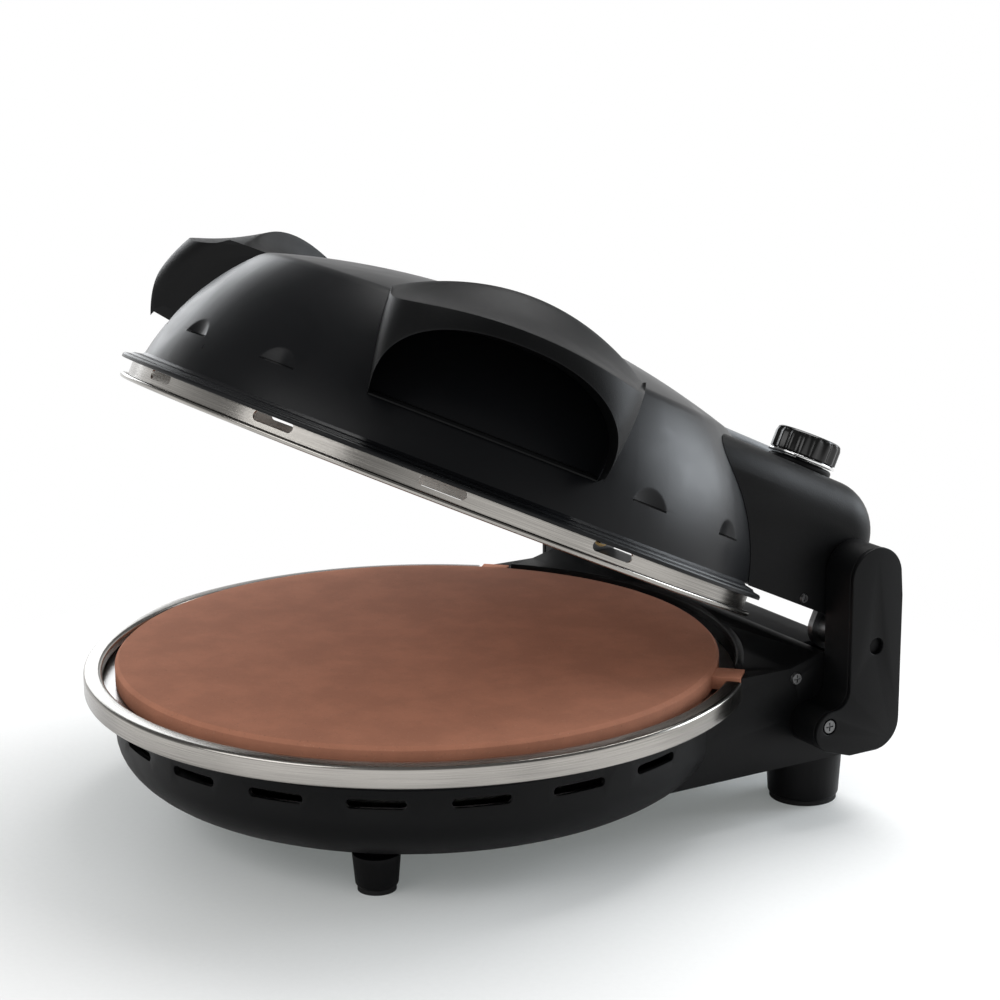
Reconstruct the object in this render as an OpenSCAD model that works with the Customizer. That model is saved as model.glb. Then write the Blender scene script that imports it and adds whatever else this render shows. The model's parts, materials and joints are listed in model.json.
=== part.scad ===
// Electric pizza maker: a round base with a baking stone, and a domed lid that is hinged
// between two rear arms. Millimetres, +Z up, front towards -Y, feet standing on z = 0.
// Radii and depths are measured from the axis of the round base, the stone's centre.

/* [Trim ring] */
// Outside radius of the steel trim ring round the base
ring_r = 182; // [178:1:186]
// Height of the trim ring's top above the table
ring_z = 84.4; // [83:0.2:88]
// Height of the trim ring's outer band
ring_band_h = 11.4; // [10:0.2:12]
// Width of the trim ring's flat top
ring_flange_w = 10; // [8:0.5:10]
// Sheet thickness of the trim ring
ring_sheet = 1; // [0.8:0.1:1.2]
// Angle from the front at which the trim ring ends on each side
ring_end_a = 131; // [127:1:133]

/* [Base] */
// Height of the bowl's floor above the table
foot_h = 20; // [16:1:24]
// How far the bowl's wall stands inside the trim ring
bowl_inset = 16; // [15:0.5:18]
// Wall thickness of the moulded bowl and its rear casing
bowl_wall = 3; // [2.5:0.1:3.5]
// Height of the bowl's rounded lower edge
bowl_turn_h = 30; // [26:1:34]
// Width of the bowl's rounded lower edge
bowl_turn_w = 46; // [40:1:52]
// Angle between neighbouring air vents
vent_pitch_a = 18; // [16:1:22]
// Length of an air vent
vent_l = 30; // [24:1:34]
// Height of an air vent
vent_h = 5; // [4:0.5:6]
// Depth of the air vents below the ring's top
vent_drop = 25.4; // [24:0.2:28]
// Underside of the rear casing above the table
case_z = 29; // [27:0.5:31]
// Top of the rear casing above the trim ring
case_rise = 5; // [3:0.2:5.4]

/* [Stone] */
// Gap all round the baking stone, out to the base's rim
stone_gap = 9; // [8:0.5:14]
// Thickness of the baking stone
stone_t = 12; // [11:0.5:13]
// How far the stone stands above the trim ring
stone_proud = 4; // [3:0.2:4.5]
// Width of the stone's two ears
ear_w = 16; // [12:1:18]

/* [Feet] */
// Radius of a front foot at its top
front_foot_r = 12.5; // [11:0.5:14]
// Distance of the front feet inside the bowl's wall
front_foot_inset = 36; // [32:1:44]
// Direction of each front foot from the front
front_foot_a = 51.5; // [48:0.5:54]
// Radius of a rear foot at its top
rear_foot_r = 21; // [18:0.5:21]
// Distance of the rear feet inside the arms' inner faces
rear_foot_inset = 22.5; // [22.5:0.5:26.5]
// Thickness of the rubber pads under the feet
pad_t = 2.5; // [2:0.1:3]

/* [Hinge] */
// How far the lid was opened in this pose
lid_open = 25; // [0:1:60]
// Distance of the hinge line behind the trim ring
hinge_setback = 12; // [11:0.5:13]
// Height of the hinge line above the table
hinge_z = 97; // [96.5:0.5:99]
// Radius of the hinge bolts
bolt_r = 4; // [3.5:0.25:4.5]
// Running clearance between a hinge bolt and its bush
bolt_clear = 0.05; // [0.03:0.01:0.08]

/* [Arms] */
// Inner face of each arm inside the side of the trim ring
arm_inset = 49.5; // [47:0.5:50]
// Width of an arm with its cover
arm_w = 23.8; // [22:0.2:26]
// Thickness of an arm's cover plate
cover_t = 3; // [2.5:0.1:3.5]
// Radius of an arm's round top
arm_top_r = 16.5; // [15:0.5:18]
// Height of the centre of an arm's round top above the hinge line
arm_top_rise = 38; // [34:1:42]
// Radius of the round toe of an arm
toe_r = 11.5; // [10:0.5:12]

/* [Lid] */
// Height of the closed dome's top above the table
dome_z = 198; // [196:1:200]
// Width of the dome's sloping side, from its foot in to its crease
side_w = 40; // [37:1:45]
// Height of the crease above the table
crease_z = 176.5; // [175:0.5:179]
// How far the dome's foot stands inside the trim ring
skirt_inset = 7; // [6:0.5:10]
// Height of the dome's foot above the table
skirt_z = 104.7; // [104:0.1:106]
// Bulge of the dome's side between crease and foot
skirt_bulge = 6.5; // [5:0.5:8]
// Sheet thickness of the dome
dome_t = 1.5; // [1.2:0.1:1.8]
// How far the black rim at the dome's foot reaches beyond the trim ring
rim_out = 4; // [2:0.5:5]
// Angle from the front at which the lid's rim and ring end
lid_end_a = 128; // [124:1:130]
// Gap between the closed lid's ring and the trim ring
lid_gap = 3; // [2:0.2:3.6]
// Number of steel ring slots on each side of the front one
lid_slots = 3; // [1:1:3]
// Length of a steel ring slot
lid_slot_l = 24; // [18:1:28]
// Number of dome louvres on each side of the front one
louvres = 5; // [2:1:5]
// Width of a dome louvre
louvre_w = 23; // [18:1:24]
// Height of a dome louvre
louvre_h = 9; // [7:0.5:10]
// Height of the louvres' slits above the table
louvre_z = 122; // [120:1:124]
// Angle between neighbouring louvres
louvre_pitch_a = 23.3; // [22:0.1:25]

/* [Grips] */
// Direction of each grip from the front
grip_a = 62; // [58:1:64]
// Half width of a grip at its top
grip_top_w = 68.5; // [64:0.5:70]
// Half width of a grip at its foot
grip_foot_w = 59; // [54:0.5:62]
// Height of a grip's foot above the table
grip_z = 124; // [122:1:127]
// How far a grip's legs stand off the dome at their foot
leg_out = 18; // [14:0.5:20]
// How far a grip's ends stand off the dome at their top
shoulder_out = 26; // [22:0.5:28]
// How far the hood's lip stands beyond the dome's foot, at the middle of a grip
lip_out = 20; // [14:0.5:22]
// Height of the hood's lip at the middle of a grip
lip_z = 169.7; // [164:0.1:172]
// Height of the ridge between a grip's front and its top, at the middle
ridge_z = 177; // [175:0.5:180]
// How far the ridge drops right behind its two ends
ridge_drop = 9.5; // [6:0.5:10]
// Height of the crest at the middle of a grip
crest_z = 196.5; // [192:0.5:200]

/* [Rear housing] */
// Gap between the lid's rear housing and each arm
house_gap = 1.5; // [1:0.5:3.5]
// Back of the housing behind the hinge line
house_back = 3; // [2:0.5:4]
// Top of the housing above the table, lid closed
house_top = 173; // [171:0.5:174]
// Underside of the housing above the table, lid closed
house_low = 103; // [102:0.5:104]
// Radius of the housing's rounded top edge at the back
house_round = 30; // [26:1:32]
// Radius of the housing's rounded ends
end_round = 20; // [16:1:22]
// Wall thickness of the housing
house_wall = 3; // [2.5:0.1:3.5]

/* [Knob] */
// Radius of the control knob
knob_r = 19; // [17:0.5:20]
// Height of the control knob
knob_h = 13; // [12:0.5:16]
// Distance of the knob from the housing's right end
knob_inset = 41; // [39:1:47]
// Distance of the knob in front of the hinge line
knob_back = 40; // [38:0.5:41]
// Radius of the thermostat's shaft
shaft_r = 3; // [2.5:0.25:3.5]

/* [Heaters] */
// Radius of a heating element's tube
tube_r = 3.25; // [3:0.25:4]
// Distance of the lower element's loop inside its pan
low_loop_inset = 38; // [30:1:50]
// Distance of the upper element's loop inside the dome's crease
top_loop_inset = 30; // [23:1:40]
// Distance of the elements' leads from the middle
lead_x = 22; // [18:1:26]

/* [Hidden] */
$fn = 96;

black = "#1b1c1f";
satin = "#24262b";
steel = "#c9c8c4";
clay = "#b9785a";
eps = 0.02;
seat = 0.3;

// Places that follow from the sizes above, all from the base's axis
hinge_y = ring_r + hinge_setback;
house_back_y = hinge_y + house_back;
round_y = house_back_y - house_round;
round_z = house_top - house_round;
rear_reach = hinge_y + (round_y - hinge_y) * cos(lid_open)
    + (round_z - hinge_z) * sin(lid_open) + house_round;
origin_y = -(rear_reach - ring_r) / 2;

bowl_r = ring_r - bowl_inset;
skirt_r = ring_r - skirt_inset;
crease_r = skirt_r - side_w;
rim_r = ring_r + rim_out;
arm_x = ring_r - arm_inset;
house_x = arm_x - house_gap;
bowl_turn_z = foot_h + bowl_turn_h;
flange_r = ring_r - ring_flange_w;
rim_out_r = ring_r - 5;
rim_in_r = rim_out_r - bowl_wall;
rim_top_z = ring_z - ring_sheet;
flare_z = ring_z - ring_band_h;
flare_h = 7;
stone_z = ring_z + stone_proud - stone_t;
pan_t = 1;
ledge_z = stone_z - pan_t;
ledge_r = rim_in_r - 3.5;
stone_r = rim_in_r - stone_gap;
pan_r = stone_r - 15;
pan_floor_z = 46;
case_top = ring_z + case_rise;
case_back_y = hinge_y + 14;
case_front_y = bowl_r - 106;
rib_a = ring_end_a + 7;
front_foot_x = (bowl_r - front_foot_inset) * sin(front_foot_a);
front_foot_y = (bowl_r - front_foot_inset) * cos(front_foot_a);
rear_foot_x = arm_x - rear_foot_inset;
cover_half_w = rear_foot_x - rear_foot_r - 5;

arm_front_y = hinge_y - 17;
arm_back_y = hinge_y + 17;
arm_top_y = hinge_y - 0.5;
arm_low_z = 38;
heel_r = 16;
toe_y = hinge_y - 27.4;
toe_z = 53.6;
toe_hole_y = hinge_y - 30.2;
toe_hole_z = 57;
ankle_r = 10;
arm_out_x = arm_x + arm_w;

knob_x = house_x - knob_inset;
knob_y = hinge_y - knob_back;
lug_r = 12;
bush_r = bolt_r + bolt_clear + 2;
bracket_x = arm_x - 20.5;
bracket_t = 4;
low_loop_r = pan_r - low_loop_inset;
top_loop_r = crease_r - top_loop_inset;
low_loop_z = 58;
top_loop_z = 122;
slot_pitch_a = 30;
gap_z = ring_z + lid_gap;

// Points along a circular arc
function arc(c, r, a0, a1, n) =
    [for (i = [0:n]) c + r * [cos(a0 + (a1 - a0) * i / n), sin(a0 + (a1 - a0) * i / n)]];

// Point on the right where two circles meet
function meet(c1, r1, c2, r2) =
    let (d = norm(c2 - c1), u = (c2 - c1) / d, x = (d * d + r1 * r1 - r2 * r2) / (2 * d),
         h = sqrt(r1 * r1 - x * x), v = [-u[1], u[0]], p = c1 + x * u + h * v, q = c1 + x * u - h * v)
    p[0] > q[0] ? p : q;

// The dome's outline is two arcs: a shallow cap and a steeper skirt
cap_rad = (pow(crease_r, 2) + pow(dome_z - crease_z, 2)) / (2 * (dome_z - crease_z));
cap_c = [0, dome_z - cap_rad];
chord = [skirt_r - crease_r, skirt_z - crease_z];
skirt_rad = (pow(norm(chord) / 2, 2) + pow(skirt_bulge, 2)) / (2 * skirt_bulge);
skirt_c = [crease_r, crease_z] + chord / 2
    - (skirt_rad - skirt_bulge) * [-chord[1], chord[0]] / norm(chord);

function dome_r(z, off = 0) =
    skirt_c[0] + sqrt(pow(skirt_rad + off, 2) - pow(z - skirt_c[1], 2));
function cap_z(r, off = 0) = cap_c[1] + sqrt(pow(cap_rad + off, 2) - r * r);
function crease(off) = meet(skirt_c, skirt_rad + off, cap_c, cap_rad + off);

// Outline of the dome from its foot to its top, moved outwards by off
function dome_line(off, low, n = 14) =
    let (k = crease(off),
         s0 = asin((low - skirt_c[1]) / (skirt_rad + off)), s1 = asin((k[1] - skirt_c[1]) / (skirt_rad + off)),
         c0 = acos(k[0] / (cap_rad + off)))
    concat(arc(skirt_c, skirt_rad + off, s0, s1, n),
           [for (p = arc(cap_c, cap_rad + off, c0, 90, n)) if (p[0] < k[0] - 1) p]);

// Everything is drawn round the base's axis and then moved to the part's own origin
module base_frame() translate([0, origin_y, 0]) children();

// The lid is drawn closed and turned up about the hinge line
module lid_frame()
    base_frame() translate([0, hinge_y, hinge_z]) rotate([-lid_open, 0, 0])
        translate([0, -hinge_y, -hinge_z]) children();

// Moves a child from the front to an angle round the axis
module at_angle(a) rotate([0, 0, a]) children();

// Both a right and a left copy
module both() { children(); mirror([1, 0, 0]) children(); }

// Extrudes a (y, z) outline along X
module along_x(x0, x1) translate([x0, 0, 0]) rotate([90, 0, 90]) linear_extrude(x1 - x0) children();

// Extrudes an (x, z) outline along Y
module along_y(y0, y1) translate([0, y1, 0]) rotate([90, 0, 0]) linear_extrude(y1 - y0) children();

// A round bar along X
module bar_x(x0, x1, y, z, r) translate([x0, y, z]) rotate([0, 90, 0]) cylinder(h = x1 - x0, r = r);

// Radial bar with round ends, lying flat, used for slots in round walls
module slot_cut(length, height, z, r0, r1)
    translate([0, -r0, z]) rotate([90, 0, 0]) linear_extrude(r1 - r0) {
        square([length - height, height], center = true);
        for (s = [-1, 1]) translate([s * (length - height) / 2, 0]) circle(d = height);
    }

// Part of a revolved outline, from -a to a round the front
module revolve_front(a) rotate([0, 0, -90 - a]) rotate_extrude(angle = 2 * a) children();

// The rest of a revolved outline, behind -a and a
module revolve_back(a) rotate([0, 0, -90 + a]) rotate_extrude(angle = 360 - 2 * a) children();

// Rectangle with its upper corners rounded, on the X axis of an outline
module rounded_top(half_w, low, high, r) {
    translate([-half_w, low]) square([2 * half_w, high - low - r]);
    translate([-half_w + r, low]) square([2 * (half_w - r), high - low]);
    for (s = [-1, 1]) translate([s * (half_w - r), high - r]) circle(r = r);
}

// ---- Base -------------------------------------------------------------------

// Outline of the bowl's outside, from the middle of its floor up to the flare
function bowl_line(w) = [for (i = [0:14]) let (a = -90 + 90 * i / 14)
    [bowl_r - bowl_turn_w + (bowl_turn_w - w) * cos(a), bowl_turn_z + (bowl_turn_h - w) * sin(a)]];

module bowl_section() polygon(concat(
    [[0, foot_h]], bowl_line(0),
    [[bowl_r, flare_z - flare_h], [rim_out_r, flare_z], [rim_out_r, rim_top_z], [rim_in_r, rim_top_z],
     [rim_in_r, ledge_z], [ledge_r, ledge_z], [ledge_r, ledge_z - bowl_wall],
     [bowl_r - bowl_wall, flare_z - flare_h + 1]],
    [for (i = [14:-1:0]) bowl_line(bowl_wall)[i]], [[0, foot_h + bowl_wall]]));

// Space inside the bowl, bounded by the middle of its wall
module bowl_space() rotate_extrude() polygon(concat(
    [[0, foot_h + bowl_wall / 2]], bowl_line(bowl_wall / 2),
    [[bowl_r - bowl_wall / 2, flare_z - flare_h + 0.5], [ledge_r + 1, ledge_z - bowl_wall],
     [ledge_r + 1, ledge_z - 1], [rim_in_r + 1, ledge_z - 1], [rim_in_r + 1, dome_z], [0, dome_z]]));

// Side view of the rear casing, w inside its outside surface
module case_section(w) {
    back = case_back_y - w;
    low = case_z + w;
    top = case_top - w;
    polygon(concat(
        [[case_front_y, low]], arc([back - 10, low + 10], 10, -90, 0, 6),
        arc([back - 9, top - 9], 9, 0, 90, 6),
        [[arm_front_y - 3, top], [arm_front_y - 22, top - case_rise], [case_front_y, top - case_rise]]));
}

module casing() difference() {
    along_x(-arm_x, arm_x) case_section(0);
    along_x(-arm_x + bowl_wall, arm_x - bowl_wall) case_section(bowl_wall);
    bowl_space();
    // the trim ring's ends pass over the casing
    revolve_front(ring_end_a + 1) translate([rim_out_r - 1, flare_z - 1]) square([30, 60]);
    revolve_front(ring_end_a + 1) translate([rim_in_r, rim_top_z - seat]) square([30, 60]);
    // room for the lid's hinge brackets
    both() translate([bracket_x - 2, hinge_y - lug_r - 2, hinge_z - lug_r - 1.5])
        cube([arm_x - bracket_x + 2 - bowl_wall, 60, 60]);
    both() bar_x(bracket_x - 2, arm_x + 1, hinge_y, hinge_z, lug_r + 1.5);
}

// Raised rib that closes the circle behind the stone
module rear_rib() revolve_back(rib_a) polygon([
    [rim_in_r + 0.4, ledge_z + 1], [rim_in_r + 0.4, ring_z + 2.2], [rim_in_r + 1.4, ring_z + 3.2],
    [rim_out_r, ring_z + 3.2], [rim_out_r + 1.5, ring_z + 2.2], [rim_out_r + 1.5, ledge_z + 1]]);

module base_shell() color(black) base_frame() difference() {
    union() { rotate_extrude() bowl_section(); casing(); rear_rib(); floor_bosses(); }
    // air vents, all round the part of the bowl that the casing leaves free
    for (a = [-6:6]) at_angle(a * vent_pitch_a)
        slot_cut(vent_l, vent_h, ring_z - vent_drop, bowl_r - bowl_wall - 6, bowl_r + 6);
    // opening under the casing, and the holes of its cover
    translate([-cover_half_w + 6, hinge_y - 10, case_z - 1]) cube([2 * cover_half_w - 12, 16, bowl_wall + 2]);
    at_cover_screws() translate([0, 0, case_z - 1]) cylinder(h = bowl_wall + 2, r = 1.6);
    // element leads, stone ears, cord gland, screws of the arms and casing
    for (s = [-1, 1]) translate([s * lead_x, pan_r - 10, low_loop_z]) rotate([-90, 0, 0])
        cylinder(h = 30, r = tube_r + 2);
    ears(seat, 30);
    translate([gland_x, case_back_y - bowl_wall - 1, gland_z]) rotate([-90, 0, 0])
        cylinder(h = 10, r = gland_r);
    both() bar_x(arm_x - 12, arm_x + 1, toe_hole_y, toe_hole_z, 1.8);
    both() bar_x(arm_x - 8, arm_x + 1, case_screw_y, case_screw_z, 1.8);
    for (x = [-1, 1]) translate([x * front_foot_x, -front_foot_y, 0]) cylinder(h = foot_h + 9, r = 2.2);
    for (x = [-1, 1]) translate([x * rear_foot_x, rear_foot_y, 0]) cylinder(h = case_z + 12, r = 2.2);
}

gland_x = -52;
gland_z = 56;
gland_r = 7;
case_screw_y = hinge_y - 35.5;
case_screw_z = 78.5;
rear_foot_y = hinge_y - 11;

// Bosses inside that take the screws of the feet and arms
module floor_bosses() {
    for (x = [-1, 1]) translate([x * front_foot_x, -front_foot_y, foot_h]) cylinder(h = 9, r = 6);
    for (x = [-1, 1]) translate([x * rear_foot_x, rear_foot_y, case_z]) cylinder(h = 12, r = 6);
    both() bar_x(arm_x - 12, arm_x, toe_hole_y, toe_hole_z, 5);
}

module trim_ring() color(steel) base_frame() revolve_front(ring_end_a) ring_section();

module ring_section() {
    t = ring_sheet;
    bend = 2.2;
    low = ring_z - ring_band_h;
    polygon(concat(
        [[rim_out_r + seat, low], [ring_r - 1, low]], arc([ring_r - 1, low + 1], 1, -90, 0, 3),
        arc([ring_r - bend, ring_z - bend], bend, 0, 90, 5),
        arc([flange_r + bend, ring_z - bend], bend, 90, 180, 5),
        [[flange_r, ring_z - 5], [flange_r + t, ring_z - 5]],
        arc([flange_r + bend, ring_z - bend], bend - t, 180, 90, 5),
        arc([ring_r - bend, ring_z - bend], bend - t, 90, 0, 5),
        [[ring_r - t, low + t], [rim_out_r + seat, low + t]]));
}

// The stone's ears reach out between the ring's ends and the rear rib
module ears(grow, high) {
    a = (ring_end_a + rib_a) / 2;
    for (s = [-1, 1]) rotate([0, 0, -90 + s * a])
        translate([stone_r - 20, -ear_w / 2 - grow, stone_z + 2 - grow])
        cube([ring_r - stone_r + 18 + grow, ear_w + 2 * grow, stone_t - 5 + high]);
}

module baking_stone() color(clay) base_frame() {
    bevel = 2;
    rotate_extrude() polygon([
        [0, stone_z], [stone_r - 1, stone_z], [stone_r, stone_z + 1],
        [stone_r, stone_z + stone_t - bevel], [stone_r - bevel, stone_z + stone_t], [0, stone_z + stone_t]]);
    ears(0, 0);
}

// Pan that throws the lower element's heat up, hung on the bowl's ledge
module lower_reflector() color("#a9a7a2") base_frame() difference() {
    rotate_extrude() polygon([
        [0, pan_floor_z], [pan_r - 8, pan_floor_z], [pan_r, pan_floor_z + 8], [pan_r, ledge_z],
        [rim_in_r - seat, ledge_z], [rim_in_r - seat, ledge_z + pan_t], [pan_r - pan_t, ledge_z + pan_t],
        [pan_r - pan_t, pan_floor_z + 8.4], [pan_r - 8.4, pan_floor_z + pan_t], [0, pan_floor_z + pan_t]]);
    for (s = [-1, 1]) translate([s * lead_x, pan_r - 10, low_loop_z]) rotate([-90, 0, 0])
        cylinder(h = 20, r = tube_r + 1);
}

// Tubular heating element: an open loop whose two ends bend back into straight leads
module element(loop_r, z, back_y) {
    a = asin((lead_x + element_bend_r) / (loop_r + element_bend_r));
    bend_y = (loop_r + element_bend_r) * cos(a);
    rotate([0, 0, 90 + a]) rotate_extrude(angle = 360 - 2 * a) translate([loop_r, z]) circle(r = tube_r);
    both() {
        translate([lead_x + element_bend_r, bend_y, z]) rotate([0, 0, 180]) rotate_extrude(angle = 90 - a)
            translate([element_bend_r, 0]) circle(r = tube_r);
        translate([lead_x, bend_y, z]) rotate([-90, 0, 0]) cylinder(h = back_y - bend_y, r = tube_r);
    }
}

element_bend_r = 12;

module lower_element() color("#7d7b78") base_frame()
    element(low_loop_r, low_loop_z, terminal_y + terminal_bore - 0.5);

terminal_d = 14;
terminal_bore = 8;
terminal_y = bowl_r + 2;

// Saddle clips round an element's loop, each on a thin strap that ends at seat_z
module clips(loop_r, z, seat_z) {
    grip_h = tube_r + 1;
    for (a = [-120, 0, 120]) at_angle(a) translate([0, -loop_r, 0]) {
        difference() {
            translate([-4, -tube_r - 1.5, z - grip_h]) cube([8, 2 * tube_r + 3, 2 * grip_h]);
            translate([-5, 0, z]) rotate([0, 90, 0]) cylinder(h = 10, r = tube_r + 0.05);
        }
        translate([-4, -0.75, seat_z < z ? seat_z : z + grip_h]) cube([8, 1.5, abs(seat_z - z) - grip_h]);
    }
}

module lower_clips() color(steel) base_frame() clips(low_loop_r, low_loop_z, pan_floor_z + pan_t);

// Ceramic block with a brass screw terminal for each lead
module terminals(y, z) {
    w = lead_x + 12;
    difference() {
        translate([-w, y, z - 9]) cube([2 * w, terminal_d, 18]);
        for (s = [-1, 1]) translate([s * lead_x, y - 1, z]) rotate([-90, 0, 0])
            cylinder(h = terminal_bore + 1, r = tube_r + 0.05);
        for (s = [-1, 1]) translate([s * lead_x, y + terminal_bore - 1, z]) cylinder(h = 20, r = 2.5);
    }
}

module lower_terminals() color("#e6e0d2") base_frame() {
    terminals(terminal_y, low_loop_z);
    // post up from the casing's floor
    translate([-8, terminal_y + 2, case_z + bowl_wall]) cube([16, 10, low_loop_z - 9 - case_z - bowl_wall]);
}

cover_plate_t = 2;
cover_front_y = hinge_y - 25;
cover_back_y = hinge_y + 11;

module at_cover_screws() for (x = [-1, 1], y = [cover_front_y + 4, cover_back_y - 4])
    translate([x * (cover_half_w - 14), y, 0]) children();

module base_cover() color(black) base_frame() difference() {
    translate([-cover_half_w, cover_front_y, case_z - cover_plate_t])
        cube([2 * cover_half_w, cover_back_y - cover_front_y, cover_plate_t]);
    at_cover_screws() translate([0, 0, case_z - cover_plate_t - 1]) cylinder(h = cover_plate_t + 2, r = 1.6);
}

module base_cover_screws() color(steel) base_frame() at_cover_screws() translate([0, 0, case_z])
    rotate([180, 0, 0]) pan_screw(3, 1.8, 1.5, bowl_wall, cover_plate_t);

// Pan-head screw: head above z = depth, shank down to -shank
module pan_screw(head_r, head_h, r, shank, lift = 2) {
    translate([0, 0, lift]) difference() {
        cylinder(h = head_h, r1 = head_r, r2 = head_r - 0.5);
        for (a = [0, 90]) rotate([0, 0, a]) translate([-head_r * 0.6, -0.4, head_h - 0.8])
            cube([head_r * 1.2, 0.8, 1]);
    }
    translate([0, 0, -shank]) cylinder(h = shank + lift + eps, r = r);
}

module foot(r, h) difference() {
    rotate_extrude() polygon([[0, pad_t], [r - 2.5, pad_t], [r - 1.5, pad_t + 1], [r, h], [0, h]]);
    translate([0, 0, -1]) cylinder(h = h + 2, r = 2.2);
    translate([0, 0, -1]) cylinder(h = pad_t + 4, r = 5);
}

module front_feet() color(black) base_frame()
    for (x = [-1, 1]) translate([x * front_foot_x, -front_foot_y, 0]) foot(front_foot_r, foot_h);

module rear_feet() color(black) base_frame()
    for (x = [-1, 1]) translate([x * rear_foot_x, rear_foot_y, 0]) foot(rear_foot_r, case_z);

module pad(r) difference() {
    cylinder(h = pad_t, r = r);
    translate([0, 0, -1]) cylinder(h = pad_t + 2, r = 5);
}

module foot_pads() color("#34343a") base_frame() {
    for (x = [-1, 1]) translate([x * front_foot_x, -front_foot_y, 0]) pad(front_foot_r - 2.5);
    for (x = [-1, 1]) translate([x * rear_foot_x, rear_foot_y, 0]) pad(rear_foot_r - 2.5);
}

// Boot-shaped side view of an arm, w inside its outside edge
module arm_outline(w = 0) {
    front = arm_front_y + w;
    back = arm_back_y - w;
    low = arm_low_z + w;
    top_z = hinge_z + arm_top_rise;
    translate([arm_top_y, top_z]) circle(r = arm_top_r - w);
    translate([front, low + heel_r - w]) square([back - front, top_z - low - heel_r + w]);
    translate([front, low]) square([back - front - heel_r + w, heel_r]);
    translate([back - heel_r + w, low + heel_r - w]) circle(r = heel_r - w);
    translate([toe_y, toe_z]) circle(r = toe_r - w);
    polygon([[toe_y, toe_z - toe_r + w], [front + 1, low], [front + 4, low], [front + 4, toe_z + toe_r - w],
             [toe_y, toe_z + toe_r - w]]);
    difference() {
        translate([front - ankle_r, toe_z + toe_r - w - eps]) square([ankle_r + 1, ankle_r + eps]);
        translate([front - ankle_r, toe_z + toe_r - w + ankle_r]) circle(r = ankle_r);
    }
}

module arm() difference() {
    union() {
        difference() {
            along_x(arm_x, arm_out_x - cover_t) arm_outline();
            along_x(arm_x + 3.5, arm_out_x) arm_outline(2.8);
        }
        bar_x(arm_x, arm_out_x - cover_t, hinge_y, hinge_z, 11);
        bar_x(arm_x, arm_out_x - cover_t, toe_hole_y, toe_hole_z, 6);
    }
    bar_x(arm_x - 1, arm_out_x, hinge_y, hinge_z, bolt_r + 0.2);
    bar_x(arm_out_x - cover_t - 5, arm_out_x, hinge_y, hinge_z, bolt_head_r + 0.7);
    bar_x(arm_x - 1, arm_out_x, toe_hole_y, toe_hole_z, 1.8);
}

module arm_cover() difference() {
    along_x(arm_out_x - cover_t, arm_out_x) arm_outline();
    bar_x(arm_x, arm_out_x + 1, hinge_y, hinge_z, 4.6);
    bar_x(arm_x, arm_out_x + 1, toe_hole_y, toe_hole_z, 1.8);
    bar_x(arm_out_x - 1.8, arm_out_x + 1, toe_hole_y, toe_hole_z, 4.4);
}

module arm_right() color(black) base_frame() arm();
module arm_left() color(black) base_frame() mirror([1, 0, 0]) arm();
module arm_cover_right() color(satin) base_frame() arm_cover();
module arm_cover_left() color(satin) base_frame() mirror([1, 0, 0]) arm_cover();

bolt_head_r = 6.8;

module hinge_bolts() color(steel) base_frame() both() difference() {
    union() {
        bar_x(bracket_x - 3, arm_out_x - cover_t - 2, hinge_y, hinge_z, bolt_r);
        bar_x(arm_out_x - cover_t - 5, arm_out_x - cover_t - 1.5, hinge_y, hinge_z, bolt_head_r);
    }
    for (a = [0, 90]) translate([arm_out_x - cover_t - 2.6, hinge_y, hinge_z]) rotate([a, 0, 0])
        translate([0, -3.5, -0.6]) cube([5, 7, 1.2]);
}

module toe_screws() color(steel) base_frame() both()
    translate([arm_out_x - 1.8, toe_hole_y, toe_hole_z]) rotate([0, 90, 0])
        pan_screw(4, 1.6, 1.7, arm_w + 6, 0);

module case_screws() color(steel) base_frame() both()
    translate([arm_x, case_screw_y, case_screw_z]) rotate([0, 90, 0]) pan_screw(3.4, 1.6, 1.7, 6, 0);

// Grommet where the mains lead would enter the casing
module cord_gland() color("#2a2a2e") base_frame()
    translate([gland_x, case_back_y, gland_z]) rotate([-90, 0, 0]) difference() {
        union() {
            translate([0, 0, -bowl_wall - 2]) cylinder(h = bowl_wall + 4, r = gland_r - 0.1);
            cylinder(h = 2, r = gland_r + 2);
            translate([0, 0, -bowl_wall - 2]) cylinder(h = 2, r = gland_r + 1.5);
        }
        translate([0, 0, -10]) cylinder(h = 20, r = 3.6);
    }

// ---- Lid ----------------------------------------------------------------------

module dome_solid(off, low) rotate_extrude() polygon(concat([[0, low]], dome_line(off, low)));

// Dent ball of a louvre: a ball that cuts a round patch of the louvre's size
dent = 2.8;
louvre_arch_r = (pow(louvre_w / 2, 2) + pow(louvre_h, 2)) / (2 * louvre_h);
dent_ball_r = (pow(louvre_arch_r, 2) + pow(dent, 2)) / (2 * dent);
louvre_mid_z = louvre_z + louvre_h - louvre_arch_r;
louvre_slope = atan2(louvre_mid_z - skirt_c[1], dome_r(louvre_mid_z) - skirt_c[0]);

// The louvres go round the dome wherever no grip stands
module at_louvres() for (k = [-louvres:louvres])
    if (abs(abs(k) * louvre_pitch_a - grip_a) > asin(grip_foot_w / skirt_r) + 4)
        at_angle(k * louvre_pitch_a) children();

module dent_ball(r) intersection() {
    translate([0, -dome_r(louvre_mid_z) - (dent_ball_r - dent) * cos(louvre_slope),
               louvre_mid_z + (dent_ball_r - dent) * sin(louvre_slope)]) sphere(r = r);
    translate([-40, -skirt_r - 60, louvre_z]) cube([80, 90, 40]);
}

rim_under_z = skirt_z - 5;

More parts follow.
